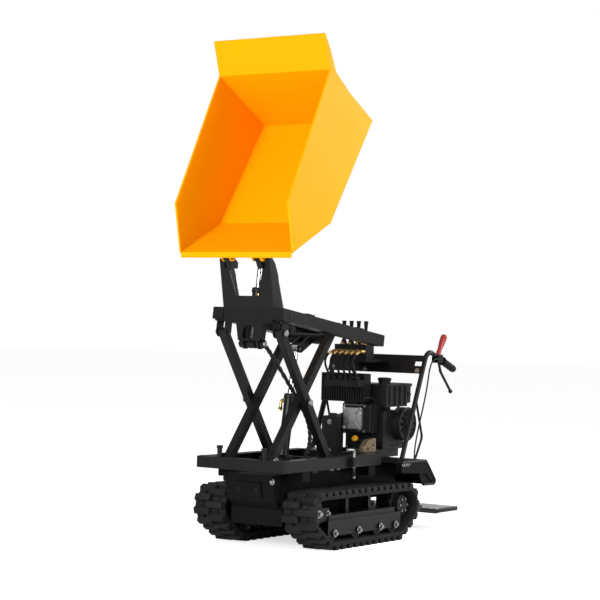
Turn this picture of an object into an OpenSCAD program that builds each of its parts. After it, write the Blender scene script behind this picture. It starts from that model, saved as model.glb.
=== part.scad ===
// Tracked mini dumper with scissor lift and forward tipping bucket, drawn raised and tipped.
// Axes: +X forward, +Y to the left side, +Z up, ground at Z = 0, millimetres.

/* [Tracks] */
// Width of one rubber belt
track_w = 180; // [120:5:260]
// Distance from the middle plane to a belt's outer edge
track_out = 353; // [300:1:420]
// Radius of the belt's outer face at the front idler
idler_r = 85; // [60:1:120]
// Radius of the belt's outer face at the rear sprocket
sprocket_r = 92; // [60:1:120]
// Height of the tread lugs
lug_h = 23; // [10:1:35]
// Thickness of a tread lug along the belt
lug_t = 21; // [12:1:26]
// Thickness of the belt
belt_t = 16; // [8:1:25]
// Lugs round one loop
lug_count = 37; // [24:1:48]
// Road wheel radius
road_r = 41.5; // [30:0.5:60]

/* [Lower frame] */
// Half width of the lower frame
lower_half = 256; // [200:1:320]
// Front end of the lower frame
lower_front = 400; // [350:1:450]
// Rear end of the lower frame
lower_rear = -479; // [-560:1:-420]
// Bottom of the lower beams
lower_z = 380; // [340:1:420]
// Height of the lower beams
lower_h = 56; // [40:1:80]

/* [Scissor] */
// Angle of the scissor legs when raised, measured from their base line
scissor_deg = 53; // [40:0.5:60]
// Angle of the base line itself
base_tilt = 2; // [0:0.5:5]
// Cross pin place along the machine
cross_x = 95; // [60:1:140]
// Cross pin height when raised
cross_z = 706; // [650:1:760]
// Leg length below the cross pin
leg_low = 357; // [320:1:400]
// Length of the inner legs above the cross pin
leg_up_a = 445; // [400:1:480]
// Length of the outer legs above the cross pin
leg_up_b = 408; // [380:1:440]
// Leg tube width across the machine
leg_w = 38; // [25:1:50]
// Leg tube depth
leg_d = 40; // [30:1:60]
// Inner face of the inner legs
leg_a_in = 104; // [80:1:120]
// Inner face of the outer legs
leg_b_in = 148; // [130:1:170]
// Roller radius
roller_r = 13; // [8:0.5:18]
// Pivot pin radius
pin_r = 11; // [6:0.5:15]

/* [Upper frame] */
// Tilt of the upper frame, front up
frame_tilt = 7.6; // [0:0.1:12]
// Half width of the upper frame
upper_half = 207; // [180:1:240]
// Height of the upper beams
upper_h = 58; // [45:1:80]
// Beam width
upper_w = 60; // [45:1:80]
// Beam centre line above the front pivot
upper_off = 85.2; // [70:0.1:100]
// Front end of the beams ahead of the front pivot
upper_front = 49; // [20:1:80]
// Rear end of the beams behind the front pivot
upper_rear = 882; // [800:1:960]

/* [Bucket] */
// Half width of the bucket
bucket_half = 333; // [280:1:380]
// Length of the flat floor
floor_l = 639; // [500:1:760]
// Lip ahead of the floor
lip_u = 310; // [200:1:380]
// Lip above the floor
lip_v = 176; // [100:1:240]
// Rim bend ahead of the floor front
bend_u = 141; // [80:1:220]
// Rim bend above the floor
bend_v = 350; // [280:1:420]
// Rear rim above the floor
rim_v = 442; // [360:1:520]
// Rear rim behind the floor front
rim_u = -589; // [-680:1:-500]
// Guard top behind the floor front
guard_u = -697; // [-760:1:-620]
// Guard top above the floor
guard_v = 578; // [500:1:660]
// Sheet thickness
sheet_t = 5; // [3:0.5:8]
// Angle of the floor when tipped
tip_deg = 55.9; // [40:0.1:65]
// Floor front corner along the machine
floor_x = 160; // [120:1:200]
// Floor front corner height
floor_z = 1572; // [1500:1:1640]
// Bucket hinge along the machine
hinge_x = 412; // [380:1:440]
// Bucket hinge height
hinge_z = 1402; // [1360:1:1440]

/* [Cylinders] */
// Lift cylinder base along the machine
lift_base_x = 40; // [-60:1:80]
// Lift cylinder base height
lift_base_z = 412; // [390:1:440]
// Lift eye along the inner leg
lift_eye_l = 650; // [560:1:720]
// Lift eye ahead of the inner leg
lift_eye_off = 45; // [0:1:70]
// Tip cylinder base along the machine
tip_base_x = 317; // [280:1:340]
// Tip cylinder base height
tip_base_z = 985; // [960:1:1020]
// Tip lug on the bucket along the machine
tip_lug_x = 252; // [230:1:280]
// Tip lug height
tip_lug_z = 1490; // [1460:1:1520]
// Barrel radius
barrel_r = 27; // [20:1:40]
// Rod radius
rod_r = 14; // [10:1:20]

/* [Rear] */
// Deck height
deck_z = 395; // [360:1:430]
// Deck half width
deck_half = 330; // [260:1:350]
// Handle half spacing
handle_y = 280; // [220:1:320]
// Handle tube radius
handle_r = 12.5; // [10:0.5:18]
// Engine centre across the machine
engine_y = 18; // [-40:1:60]
// Footboard half width
step_half = 250; // [200:1:300]
// Footboard hinge along the machine
step_x = -1040; // [-1080:1:-1000]
// Footboard hinge height
step_z = 112; // [80:1:150]
// Footboard length
step_l = 262; // [200:1:320]

/* [Hidden] */
$fn = 48;
fit = 0.05;
gap = 0.3;
wall = 4;
step_rear = step_x - step_l;
bend_x = floor_x + bend_u * cos(tip_deg) + bend_v * sin(tip_deg);
origin_x = (bend_x + step_rear) / 2;
// Scissor points
ang_a = scissor_deg - base_tilt;
ang_b = scissor_deg + base_tilt;
pa_x = cross_x + leg_low * cos(ang_a);
pa_z = cross_z - leg_low * sin(ang_a);
ta_x = cross_x - leg_up_a * cos(ang_a);
ta_z = cross_z + leg_up_a * sin(ang_a);
tb_x = cross_x + leg_up_b * cos(ang_b);
tb_z = cross_z + leg_up_b * sin(ang_b);
pb_x = cross_x - leg_low * cos(ang_b);
pb_z = cross_z - leg_low * sin(ang_b);
leg_a_out = leg_a_in + leg_w;
leg_b_out = leg_b_in + leg_w;
eye_x = pa_x - lift_eye_l * cos(ang_a) + lift_eye_off * sin(ang_a);
eye_z = pa_z + lift_eye_l * sin(ang_a) + lift_eye_off * cos(ang_a);
lift_ang = atan2(eye_z - lift_base_z, eye_x - lift_base_x);
lift_len = norm([eye_x - lift_base_x, eye_z - lift_base_z]);
tip_ang = atan2(tip_lug_z - tip_base_z, tip_lug_x - tip_base_x);
tip_len = norm([tip_lug_x - tip_base_x, tip_lug_z - tip_base_z]);

// Track loop: belt circles in running order, centre x, centre z, outer radius
belt_in = belt_t;
foot_r = 60;
loop = [[190, 180, idler_r], [-605, 172, sprocket_r], [-520, lug_h + foot_r, foot_r],
    [85, lug_h + foot_r, foot_r]];
function nxt(i) = (i + 1) % len(loop);
function prv(i) = (i + len(loop) - 1) % len(loop);
function leg_dir(i) = atan2(loop[nxt(i)][1] - loop[i][1], loop[nxt(i)][0] - loop[i][0]);
function leg_len(i) = norm([loop[nxt(i)][0] - loop[i][0], loop[nxt(i)][1] - loop[i][1]]);
function out_dir(i) = leg_dir(i) - 90 + asin((loop[nxt(i)][2] - loop[i][2]) / leg_len(i)) * -1;
function turn(i) = let (d = out_dir(i) - out_dir(prv(i))) d - 360 * floor(d / 360);
function straight(i) = sqrt(pow(leg_len(i), 2) - pow(loop[nxt(i)][2] - loop[i][2], 2));
function arc_len(i) = turn(i) * PI / 180 * loop[i][2];
function ring(t) = [for (i = [0 : len(loop) - 1]) for (k = [0 : 12])
    let (a = out_dir(prv(i)) + turn(i) * k / 12)
    [loop[i][0] + (loop[i][2] - t) * cos(a), loop[i][1] + (loop[i][2] - t) * sin(a)]];
function total(i) = i < 0 ? 0 : arc_len(i) + straight(i) + total(i - 1);
loop_len = total(len(loop) - 1);
// Place along the loop: x, z, outward angle
function spot(s, i = 0) =
    s < arc_len(i) ?
        let (a = out_dir(prv(i)) + s / loop[i][2] * 180 / PI)
        [loop[i][0] + loop[i][2] * cos(a), loop[i][1] + loop[i][2] * sin(a), a] :
    s < arc_len(i) + straight(i) ?
        let (a = out_dir(i), d = s - arc_len(i))
        [loop[i][0] + loop[i][2] * cos(a) - d * sin(a), loop[i][1] + loop[i][2] * sin(a) + d * cos(a), a] :
    i < len(loop) - 1 ? spot(s - arc_len(i) - straight(i), i + 1) : spot(0, 0);

module bx(x0, x1, y0, y1, z0, z1) {
    translate([x0, y0, z0]) cube([x1 - x0, y1 - y0, z1 - z0]);
}
module yc(x, z, y0, y1, r) {
    translate([x, y0, z]) rotate([-90, 0, 0]) cylinder(r = r, h = y1 - y0);
}
module bar(p, q, r) {
    d = q - p;
    translate(p) rotate([0, acos(d[2] / norm(d)), atan2(d[1], d[0])]) cylinder(r = r, h = norm(d));
}
// Round tube through XZ points in one plane, with round bends
function head(p, q) = atan2(q[1] - p[1], q[0] - p[0]);
function swing(a, b) = (b - a) - 360 * round((b - a) / 360);
function bend_at(pts, i) = i < 1 || i > len(pts) - 2 ? 0 :
    swing(head(pts[i - 1], pts[i]), head(pts[i], pts[i + 1]));
module pipe(pts, bend, r, y) {
    translate([0, y, 0]) rotate([90, 0, 0]) for (i = [0 : len(pts) - 2]) {
        a = head(pts[i], pts[i + 1]);
        t0 = bend * tan(abs(bend_at(pts, i)) / 2);
        t1 = bend * tan(abs(bend_at(pts, i + 1)) / 2);
        turn = bend_at(pts, i);
        side = turn > 0 ? 1 : -1;
        translate([pts[i][0], pts[i][1], 0]) rotate([0, 0, a]) {
            run = norm(pts[i + 1] - pts[i]) - t0 - t1;
            lap0 = t0 > 0 ? 1 : 0;
            lap1 = t1 > 0 ? 1 : 0;
            translate([t0 - lap0, 0, 0]) rotate([0, 90, 0]) cylinder(r = r, h = run + lap0 + lap1);
            if (i > 0) translate([t0, side * bend, 0]) rotate([0, 0, turn > 0 ? -90 - turn : 90])
                rotate_extrude(angle = abs(turn)) translate([bend, 0]) circle(r = r + 0.6);
        }
    }
}
module slab(pts, y0, y1) {
    translate([0, y1, 0]) rotate([90, 0, 0]) linear_extrude(height = y1 - y0) polygon(pts);
}
module both() {
    children();
    mirror([0, 1, 0]) children();
}
module shift() {
    translate([-origin_x, 0, 0]) children();
}
// Scissor leg lying from one XZ point to another, with round ends
module leg(x0, z0, x1, z1, y0, y1) {
    a = atan2(z1 - z0, x1 - x0);
    slab([for (k = [0 : 12]) [x1 + leg_d / 2 * cos(a - 90 + k * 15), z1 + leg_d / 2 * sin(a - 90 + k * 15)],
        for (k = [0 : 12])
            [x0 + leg_d / 2 * cos(a + 90 + k * 15), z0 + leg_d / 2 * sin(a + 90 + k * 15)]], y0, y1);
}
// Frame lying on the upper beams: origin at the front pivot
module on_top() {
    translate([tb_x, 0, tb_z]) rotate([0, -frame_tilt, 0]) children();
}
// Frame of the tipped bucket: origin at the floor's front corner, +X along the floor
module on_bucket() {
    translate([floor_x, 0, floor_z]) rotate([0, tip_deg, 0]) children();
}

module belt(side) {
    y0 = side > 0 ? track_out - track_w : -track_out;
    half = track_w / 2;
    color("#1b1b1c") {
        difference() {
            slab(ring(0), y0, y0 + track_w);
            slab(ring(belt_in), y0 - 1, y0 + track_w + 1);
        }
        for (k = [0 : lug_count - 1]) for (h = [0, 1]) {
            c = spot((k + h * 0.5 + 0.1) * loop_len / lug_count);
            translate([c[0], y0 + h * half, c[1]]) rotate([0, -c[2], 0])
                bx(-3, lug_h, h == 0 ? 2 : -10, h == 0 ? half + 10 : half - 2, -lug_t / 2, lug_t / 2);
        }
    }
}
module track_left() shift() belt(1);
module track_right() shift() belt(-1);

road_xs = [62, -155, -360, -505];
road_z = lug_h + belt_t + road_r + 0.5;
track_mid = track_out - track_w / 2;
module track_frame() {
    color("#2a2b2d") difference() {
        union() {
            // outer and inner plates with the box beam between
            bx(-560, 115, track_mid + 57, track_mid + 65, 67, 144);
            bx(-560, 115, track_mid - 65, track_mid - 57, 67, 144);
            bx(-515, 100, track_mid - 57, track_mid + 57, 128, 168);
            // idler fork
            for (s = [-1, 1]) bx(90, 215, track_mid + s * 46 - 5, track_mid + s * 46 + 5, 140, 205);
            // top run skid on two posts
            for (x = [-330, -120]) bx(x - 12, x + 12, track_mid - 20, track_mid + 20, 168, 236);
            bx(-380, -70, track_mid - 24, track_mid + 24, 236, 248);
            // sprocket gear case bracket
            bx(-640, -530, track_mid - 65, track_mid - 57, 110, 225);
        }
        for (x = road_xs) yc(x, road_z, track_mid - 90, track_mid + 90, 9 + fit);
        yc(190, 180, track_mid - 90, track_mid + 90, 12 + fit);
        yc(-605, 172, track_mid - 90, track_mid + 90, 20 + fit);
    }
}
module track_frame_left() shift() track_frame();
module track_frame_right() shift() mirror([0, 1, 0]) track_frame();
module track_rollers() shift() both() color("#232426") for (x = road_xs) {
    yc(x, road_z, track_mid - 72, track_mid + 72, 9);
    for (s = [-1, 1]) yc(x, road_z, track_mid + s * 34 - 17, track_mid + s * 34 + 17, road_r);
}
module idler_wheels() shift() both() color("#232426") {
    yc(190, 180, track_mid - 58, track_mid + 58, 12);
    yc(190, 180, track_mid - 36, track_mid + 36, idler_r - belt_t - 0.5);
}
module drive_sprockets() shift() both() color("#2f3133") {
    yc(-605, 172, track_mid - 90, track_mid + 40, 20);
    yc(-605, 172, track_mid - 50, track_mid + 46, 50);
    difference() {
        yc(-605, 172, track_mid - 14, track_mid + 14, sprocket_r - belt_t - 0.5);
        for (k = [0 : 10]) translate([-605, 0, 172]) rotate([0, k * 360 / 11, 0])
            yc(sprocket_r - belt_t + 2, 0, track_mid - 20, track_mid + 20, 13);
    }
}

tub_top = lower_z - 20;
tub_half = track_out - track_w - 23;
module chassis_tub() shift() color("#2a2b2d") {
    difference() {
        bx(-560, 250, -tub_half, tub_half, 110, tub_top);
        bx(-552, 242, -tub_half + 8, tub_half - 8, 100, tub_top - 8);
    }
    // cross members out to the track frames
    for (x = [-440, 0]) both() bx(x - 30, x + 30, tub_half, track_mid - 65, 118, 168);
    // saddles below the lower beams, with pads
    for (x = [-400, 200]) both() {
        bx(x - 30, x + 30, tub_half, lower_half - 6, tub_top - 30, lower_z - 8);
        bx(x - 30, x + 30, lower_half - 58, lower_half - 6, lower_z - 8, lower_z);
    }
    // rear side plates below the deck
    both() bx(-800, -560, tub_half - 8, tub_half, 200, deck_z - 5);
    bx(-572, -560, -tub_half + 8, tub_half - 8, 200, deck_z - 5);
    // sloping front panel
    slab([[250, tub_top], [250, 190], [300, 230], [330, tub_top]], -tub_half + 10, tub_half - 10);
    slab([[304, 248], [321, 322], [329, 320], [312, 246]], -72, 72);
}
module lower_beam() {
    y0 = lower_half - 60;
    difference() {
        bx(lower_rear, lower_front - 28, y0, lower_half, lower_z, lower_z + lower_h);
        bx(lower_rear - 1, lower_front, y0 - 1, lower_half - 5, lower_z + wall, lower_z + lower_h - wall);
    }
}
module lower_beams() shift() both() color("#2a2b2d") lower_beam();
module lower_cross() shift() color("#2a2b2d") {
    bx(lower_front - 28, lower_front, -lower_half, lower_half, lower_z, lower_z + lower_h);
    bx(lower_rear, lower_rear + 45, -lower_half + 5, lower_half - 5,
        lower_z + wall, lower_z + lower_h - wall);
    // lift cylinder base beam with two ears
    bx(lift_base_x - 25, lift_base_x + 25, -lower_half + 60, lower_half - 60, tub_top, lower_z);
    for (s = [-1, 1]) difference() {
        bx(lift_base_x - 25, lift_base_x + 25, s * 37 - 6, s * 37 + 6, lower_z, lift_base_z + 22);
        yc(lift_base_x, lift_base_z, -60, 60, pin_r + fit);
    }
}
module buffer_posts() shift() both() color("#1b1b1c") {
    translate([385, 131, lower_z + lower_h]) cylinder(r = 12, h = 42);
    translate([385, 131, lower_z + lower_h + 42]) cylinder(r = 15, h = 14);
}
module pivot_brackets() shift() both() color("#2a2b2d") difference() {
    union() for (y = [leg_a_in - 9, leg_a_out + 2])
        bx(pa_x - 24, lower_front - 28, y, y + 7, lower_z + 5, pa_z + 24);
    yc(pa_x, pa_z, 60, 200, pin_r + fit);
}

module rear_deck() shift() color("#232426") {
    slab([[-500, deck_z], [-808, deck_z], [-914, 284], [-890, 258], [-886, 261.5], [-907, 284],
        [-806, deck_z - 5], [-500, deck_z - 5]], -deck_half, deck_half);
    // side skirts over the tracks
    both() slab([[-560, deck_z - 1], [-807, deck_z - 1], [-912, 284], [-888, 260], [-810, 322], [-560, 338]],
        deck_half - 5, deck_half);
}
module engine_block() shift() color("#26272a") {
    both() bx(-905, -650, 70, 100, deck_z, 440);
    bx(-900, -690, engine_y - 115, engine_y + 115, 440, 640);
    yc(-800, 560, engine_y - 140, engine_y + 100, 70);
}
module engine_head() shift() {
    color("#3a3c3f") for (k = [0 : 5])
        bx(-690 + k * 13, -690 + k * 13 + 6, engine_y - 92, engine_y + 92, 526, 676);
    color("#3a3c3f") bx(-690, -615, engine_y - 78, engine_y + 78, 535, 668);
    color("#b9bbbe") bx(-615, -598, engine_y - 70, engine_y + 88, 532, 669);
}
module fuel_tank() shift() color("#1f2022") {
    bx(-905, -690, engine_y - 130, engine_y + 130, 662, 780);
    bx(-850, -740, engine_y - 60, engine_y + 60, 640, 662);
    translate([-800, engine_y + 50, 780]) cylinder(r = 32, h = 16);
    for (k = [0 : 3]) bx(-890 + k * 52, -878 + k * 52, engine_y + 130, engine_y + 136, 672, 770);
    for (k = [0 : 3]) bx(-690, -684, engine_y - 110 + k * 66, engine_y - 98 + k * 66, 700, 772);
}
module muffler() shift() color("#1b1b1c") {
    bx(-672, -606, -203, 62, 685, 833);
    for (k = [0 : 16]) bx(-606, -598, -195 + k * 15, -189 + k * 15, 690, 828);
    bx(-672, -640, -60, 0, 676, 685);
    bx(-598, -534, -135, 70, 765, 800 - gap);
}
module recoil_starter() shift() color("#2c2d30") {
    difference() {
        yc(-862, 570, engine_y + 115, engine_y + 160, 88);
        for (k = [0 : 11]) rotate_at(k * 30);
    }
    yc(-862, 570, engine_y + 160, engine_y + 172, 34);
}
module rotate_at(a) {
    translate([-862, engine_y + 150, 570]) rotate([0, a, 0]) bx(46, 76, 0, 20, -5, 5);
}
module hydraulic_pump() shift() color("#3a3c3f") {
    yc(-800, 560, engine_y - 210, engine_y - 140, 55);
    bx(-840, -760, engine_y - 270, engine_y - 210, 515, 605);
    // oil tank with its cap
    bx(-590, -520, -138, -48, deck_z, 610);
    translate([-555, -93, 610]) cylinder(r = 20, h = 14);
}
valve_y = [-100, -55, -10, 35];
module valve_block() shift() {
    color("#2c2d30") bx(-690, -612, -130, 65, 905, 985);
    color("#2c2d30") slab([[-612, 893], [-612, 905], [post_x(905) + 20, 905], [post_x(893) + 20, 893]],
        -130, 65);
    color("#1b1b1c") for (y = valve_y) {
        bar([-655, y, 985], [-655, y, 1065], 6);
        translate([-655, y, 1058]) cylinder(r1 = 8, r2 = 12, h = 50);
    }
}
module valve_hoses() shift() for (k = [0 : 5]) {
    y = -118 + k * 34;
    color("#c8a33c") bar([-612, y, 948], [-580, y, 948], 11);
    color("#18181a") pipe([[-580, 948], [-550, 948], [-550, 800]], 24, 9, y);
}
function post_x(z) = -640 - (z - 400) * 224 / 535;
module console_panel() shift() color("#232426") difference() {
    slab([[post_x(840) + 14, 840], [post_x(935) + 14, 935], [post_x(935) + 20, 935], [post_x(840) + 20, 840]],
        -handle_y - 14, handle_y + 14);
    bx(-880, -780, 235, 285, 880, 902);
}
module handlebars() shift() both() color("#232426") {
    pipe([[post_x(deck_z + 6), deck_z + 6], [post_x(965), 965], [-1040, 905]], 55, handle_r, handle_y);
    translate([post_x(deck_z), handle_y, deck_z]) cylinder(r = 30, h = 8);
    pipe([[post_x(710), 710], [-843, 507], [-780, deck_z + 5]], 40, 6, handle_y);
}
function grip_z(x) = 905 + (x + 1040) * (965 - 905) / (post_x(965) + 1040);
module hand_grips() shift() both() color("#18181a")
    bar([-1040, handle_y, 905], [-1160, handle_y, grip_z(-1160)], 17);
module control_levers() shift() difference() {
    lever_set();
    both() bar([-930, handle_y, grip_z(-930)], [-1040, handle_y, 905], handle_r + fit);
}
module lever_set() {
    color("#c4201c") bar([-985, handle_y, 932], [-1055, handle_y, 1041], 8);
    color("#232426") bx(-1010, -960, handle_y - 20, handle_y + 20, 896, 940);
    color("#232426") for (s = [-1, 1]) pipe([[-1000, 900], [-1020, 850], [-1135, 742]], 30, 7, s * handle_y);
    color("#232426") bx(-1010, -960, -handle_y - 20, -handle_y + 20, 896, 940);
}
module step_arms() shift() color("#2a2b2d") {
    both() difference() {
        union() {
            bx(step_x, -560, 128, 142, 90, 134);
            yc(step_x, step_z, 128, 142, 20);
            bx(-800, -760, 128, 142, 134, deck_z - 5);
        }
        yc(step_x, step_z, 100, 200, pin_r + fit);
    }
    bx(-720, -690, -128, 128, 95, 130);
}
module lift_hose() shift() color("#18181a")
    pipe([[320, 985], [250, 930], [-60, 640], [-110, 520], [-36, 440], [-36, tub_top + 0.3]], 45, 10, 66);

tube_l = lift_eye_l + 102;
tube_x = pa_x - tube_l * cos(ang_a);
tube_z = pa_z + tube_l * sin(ang_a);
module inner_leg() color("#2a2b2d") {
    leg(pa_x, pa_z, ta_x, ta_z, leg_a_in, leg_a_out);
    yc(pa_x, pa_z, leg_a_in - 12, leg_a_out + 12, pin_r);
    yc(cross_x, cross_z, leg_a_in - 5, leg_b_out + 8, pin_r);
    yc(ta_x, ta_z, leg_a_out, upper_half - 50, pin_r - 1);
    yc(ta_x, ta_z, upper_half - 50, upper_half - 12, roller_r);
}
module leg_a_left() shift() inner_leg();
module leg_a_right() shift() mirror([0, 1, 0]) inner_leg();
module leg_a_cross() shift() color("#2a2b2d") {
    yc(tube_x, tube_z, -leg_a_in, leg_a_in, 25);
    // ears for the lift rod
    for (s = [-1, 1]) difference() {
        leg(tube_x, tube_z, eye_x, eye_z, s * 27 - 5, s * 27 + 5);
        yc(eye_x, eye_z, -60, 60, pin_r + 0.5);
    }
}
module outer_leg() color("#2a2b2d") difference() {
    union() {
        leg(pb_x, pb_z, tb_x, tb_z, leg_b_in, leg_b_out);
        yc(pb_x, pb_z, leg_b_out, lower_half - 50, pin_r - 1);
        yc(pb_x, pb_z, lower_half - 50, lower_half - 12, roller_r);
        yc(tb_x, tb_z, leg_b_in - 12, leg_b_out + 14, pin_r);
    }
    yc(cross_x, cross_z, leg_b_in - 1, leg_b_out + 1, pin_r + fit);
}
module leg_b_left() shift() outer_leg();
module leg_b_right() shift() mirror([0, 1, 0]) outer_leg();
module leg_b_axle() shift() color("#2a2b2d") yc(pb_x, pb_z, -leg_b_in, leg_b_in, pin_r);

beam_lo = upper_off - upper_h / 2;
beam_hi = upper_off + upper_h / 2;
module upper_beams() shift() on_top() both() color("#2a2b2d") {
    difference() {
        bx(-upper_rear, upper_front, upper_half - upper_w, upper_half, beam_lo, beam_hi);
        bx(-upper_rear - 1, upper_front - 60, upper_half - upper_w - 1, upper_half - 5,
            beam_lo + wall, beam_hi - wall);
    }
    // cheeks of the front pivot on a pad below the beam
    bx(-26, 26, leg_b_in - 8.5, upper_half, beam_lo - 6, beam_lo);
    for (y = [leg_b_in - 8.5, leg_b_out + 2.5]) difference() {
        union() {
            yc(0, 0, y, y + 6, 26);
            bx(-26, 26, y, y + 6, 0, beam_lo);
        }
        yc(0, 0, y - 1, y + 7, pin_r + fit);
    }
}
// Opening between the horns: floor height and half widths, wider at the top
horn_low = 66;
horn_high = 98;
horn_z = 1215;
horn_top = 1345;
// Narrow ends of the horns beside the hinge ears
horn_tip = 1392;
horn_in = 121;
module front_plate() shift() color("#2a2b2d") difference() {
    slab([[355, 1098], [363, 1098], [363, 1160], [405.6, horn_tip], [397.6, horn_tip], [355, 1160]],
        -upper_half + upper_w, upper_half - upper_w);
    translate([300, 0, 0]) rotate([90, 0, 90]) linear_extrude(height = 150)
        polygon([[-horn_low, horn_z], [horn_low, horn_z], [horn_high, horn_top], [horn_in, horn_top],
            [horn_in, horn_tip + 1], [-horn_in, horn_tip + 1], [-horn_in, horn_top], [-horn_high, horn_top]]);
}
module uprights() shift() both() color("#2a2b2d") {
    slab([[240, 1130], [355, 1130], [355, 1160], [388, horn_top], [396.5, horn_tip], [396.5, 1397],
        [356, 1397], [330, 1372], [304, 1320], [297, 1290], [262, 1190]], horn_in, horn_in + 8);
    // hinge boss carried by a stem on the horn
    difference() {
        union() {
            yc(hinge_x, hinge_z, 74, 104, 22);
            slab([[372, 1345], [397, 1345], [hinge_x + 16, hinge_z], [hinge_x - 20, hinge_z],
                [352, 1376], [352, 1345]], 74, 104);
            bx(352, 388, 104, 121, 1345, 1372);
        }
    }
    yc(hinge_x, hinge_z, 56, 74, pin_r);
    yc(hinge_x, hinge_z, 104, 120, pin_r);
}
bracket_half = leg_b_in - 8.5 - gap;
module tip_bracket() shift() color("#2a2b2d") {
    bx(338, 355, -bracket_half, bracket_half, 1085, 1125);
    both() difference() {
        union() {
            slab([[270, 1110], [270, 1085], [292, 975], [306, 960], [328, 960], [342, 975],
                [349, 1000], [349, 1110]], 38, 50);
            yc(tip_base_x, tip_base_z, 50, 70, 20);
        }
        yc(tip_base_x, tip_base_z, 30, 80, pin_r + fit);
    }
    both() bx(270, 355, 38, bracket_half, 1098, 1110);
    // tapered front web with an arched window
    difference() {
        translate([349, 0, 0]) rotate([90, 0, 90]) linear_extrude(height = 6)
            polygon([[-62, 1000], [62, 1000], [78, 1098], [-78, 1098]]);
        bx(340, 360, -34, 34, 1010, 1040);
        translate([340, 0, 1040]) rotate([0, 90, 0]) cylinder(r = 34, h = 20);
    }
}
// Height of the rest pads; the bucket rails reach down to them
pad_h = 8;
module rest_posts() shift() on_top() color("#2a2b2d") {
    // low pads under the bucket rails
    both() {
        bx(-700, -640, upper_half - upper_w + 12, upper_half - 12, beam_hi, beam_hi + pad_h);
        bx(-240, -180, upper_half - upper_w + 12, upper_half - 12, beam_hi, beam_hi + pad_h);
    }
}

// Cylinder barrel and rod, lying along +X from the base pin
module barrel(l) {
    difference() {
        union() {
            rotate([0, 90, 0]) translate([0, 0, 22]) cylinder(r = barrel_r, h = l - 22);
            yc(0, 0, -20, 20, 22);
        }
        rotate([0, 90, 0]) translate([0, 0, 30]) cylinder(r = rod_r + fit, h = l);
        rotate([0, 90, 0]) translate([0, 0, 30]) cylinder(r = barrel_r - 6, h = l - 50);
    }
    yc(0, 0, -56, 56, pin_r);
}
module piston(l, reach) {
    rotate([0, 90, 0]) translate([0, 0, l - reach]) cylinder(r = rod_r, h = reach - 10);
    rotate([0, 90, 0]) translate([0, 0, l - reach]) cylinder(r = barrel_r - 6 - gap, h = 12);
    yc(l, 0, -16, 16, 19);
}
lift_tube = 330;
tip_tube = 272;
module lift_barrel() shift() color("#232426")
    translate([lift_base_x, 0, lift_base_z]) rotate([0, -lift_ang, 0]) barrel(lift_tube);
module lift_rod() shift() color("#c9cbce")
    translate([lift_base_x, 0, lift_base_z]) rotate([0, -lift_ang, 0]) piston(lift_len, lift_len - 260);
module tip_barrel() shift() color("#232426")
    translate([tip_base_x, 0, tip_base_z]) rotate([0, -tip_ang, 0]) barrel(tip_tube);
module tip_rod() shift() color("#c9cbce")
    translate([tip_base_x, 0, tip_base_z]) rotate([0, -tip_ang, 0]) piston(tip_len, tip_len - 232);

side_in = bucket_half - 6 - sheet_t;
// Where the folded lip meets the underside of the ramp
lip_back = [lip_u, lip_v] * 0.987;
module bucket_pan() shift() on_bucket() color("#f5b400")
    slab([[0, 0], [-floor_l, 0], [rim_u, rim_v], [rim_u + sheet_t, rim_v],
        [-floor_l + sheet_t + 1, sheet_t], [-1, sheet_t], [lip_u - 2, lip_v + sheet_t],
        [lip_u + 18, lip_v + sheet_t - 13.5], [lip_u + 15.8, lip_v + sheet_t - 16.8], lip_back],
        -side_in, side_in);
module bucket_sides() shift() on_bucket() both() color("#f5b400") {
    slab([[lip_u, lip_v], [0, 0], [-floor_l, 0], [rim_u, rim_v], [bend_u, bend_v]],
        side_in, side_in + sheet_t);
    // folded rim
    slab([[rim_u, rim_v], [bend_u, bend_v], [bend_u - 8, bend_v - 22], [rim_u, rim_v - 22]],
        side_in + sheet_t, bucket_half);
    slab([[lip_u, lip_v], [bend_u, bend_v], [bend_u - 8, bend_v - 22], [lip_u - 22, lip_v + 2]],
        side_in + sheet_t, bucket_half);
}
module bucket_guard() shift() on_bucket() color("#f5b400") {
    slab([[rim_u, rim_v], [guard_u, guard_v], [guard_u + 5, guard_v + 4], [rim_u + sheet_t, rim_v + 4],
        [rim_u + sheet_t, rim_v]], -side_in - sheet_t, side_in + sheet_t);
    both() slab([[rim_u, rim_v], [guard_u, guard_v], [guard_u + 30, guard_v - 80], [rim_u - 22, rim_v - 50],
        [rim_u - 22, rim_v - 180]], side_in, side_in + sheet_t);
}
module bucket_rails() shift() on_bucket() both() color("#f5b400")
    bx(-floor_l + 20, -30, 160, 194, pad_h - 108, 0);
// Hinge ears and the tip cylinder's lugs, drawn in the tipped pose
function ramp_z(x) = floor_z - (x - floor_x) * tan(tip_deg - atan2(lip_v, lip_u));
module bucket_ears() shift() color("#f5b400") {
    for (y = [62, 108]) both() difference() {
        union() {
            yc(hinge_x, hinge_z, y, y + 8, 24);
            slab([[hinge_x - 22, hinge_z], [hinge_x + 22, hinge_z], [hinge_x + 40, ramp_z(hinge_x + 40)],
                [hinge_x - 40, ramp_z(hinge_x - 40)]], y, y + 8);
        }
        yc(hinge_x, hinge_z, y - 1, y + 9, pin_r + fit);
    }
    for (s = [-1, 1]) difference() {
        union() {
            yc(tip_lug_x, tip_lug_z, s * 26 - 5, s * 26 + 5, 20);
            slab([[tip_lug_x - 20, tip_lug_z], [tip_lug_x + 20, tip_lug_z],
                [tip_lug_x + 40, ramp_z(tip_lug_x + 40)], [tip_lug_x - 40, ramp_z(tip_lug_x - 40)]],
                s * 26 - 5, s * 26 + 5);
        }
        yc(tip_lug_x, tip_lug_z, -60, 60, pin_r + 0.5);
    }
}
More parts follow.
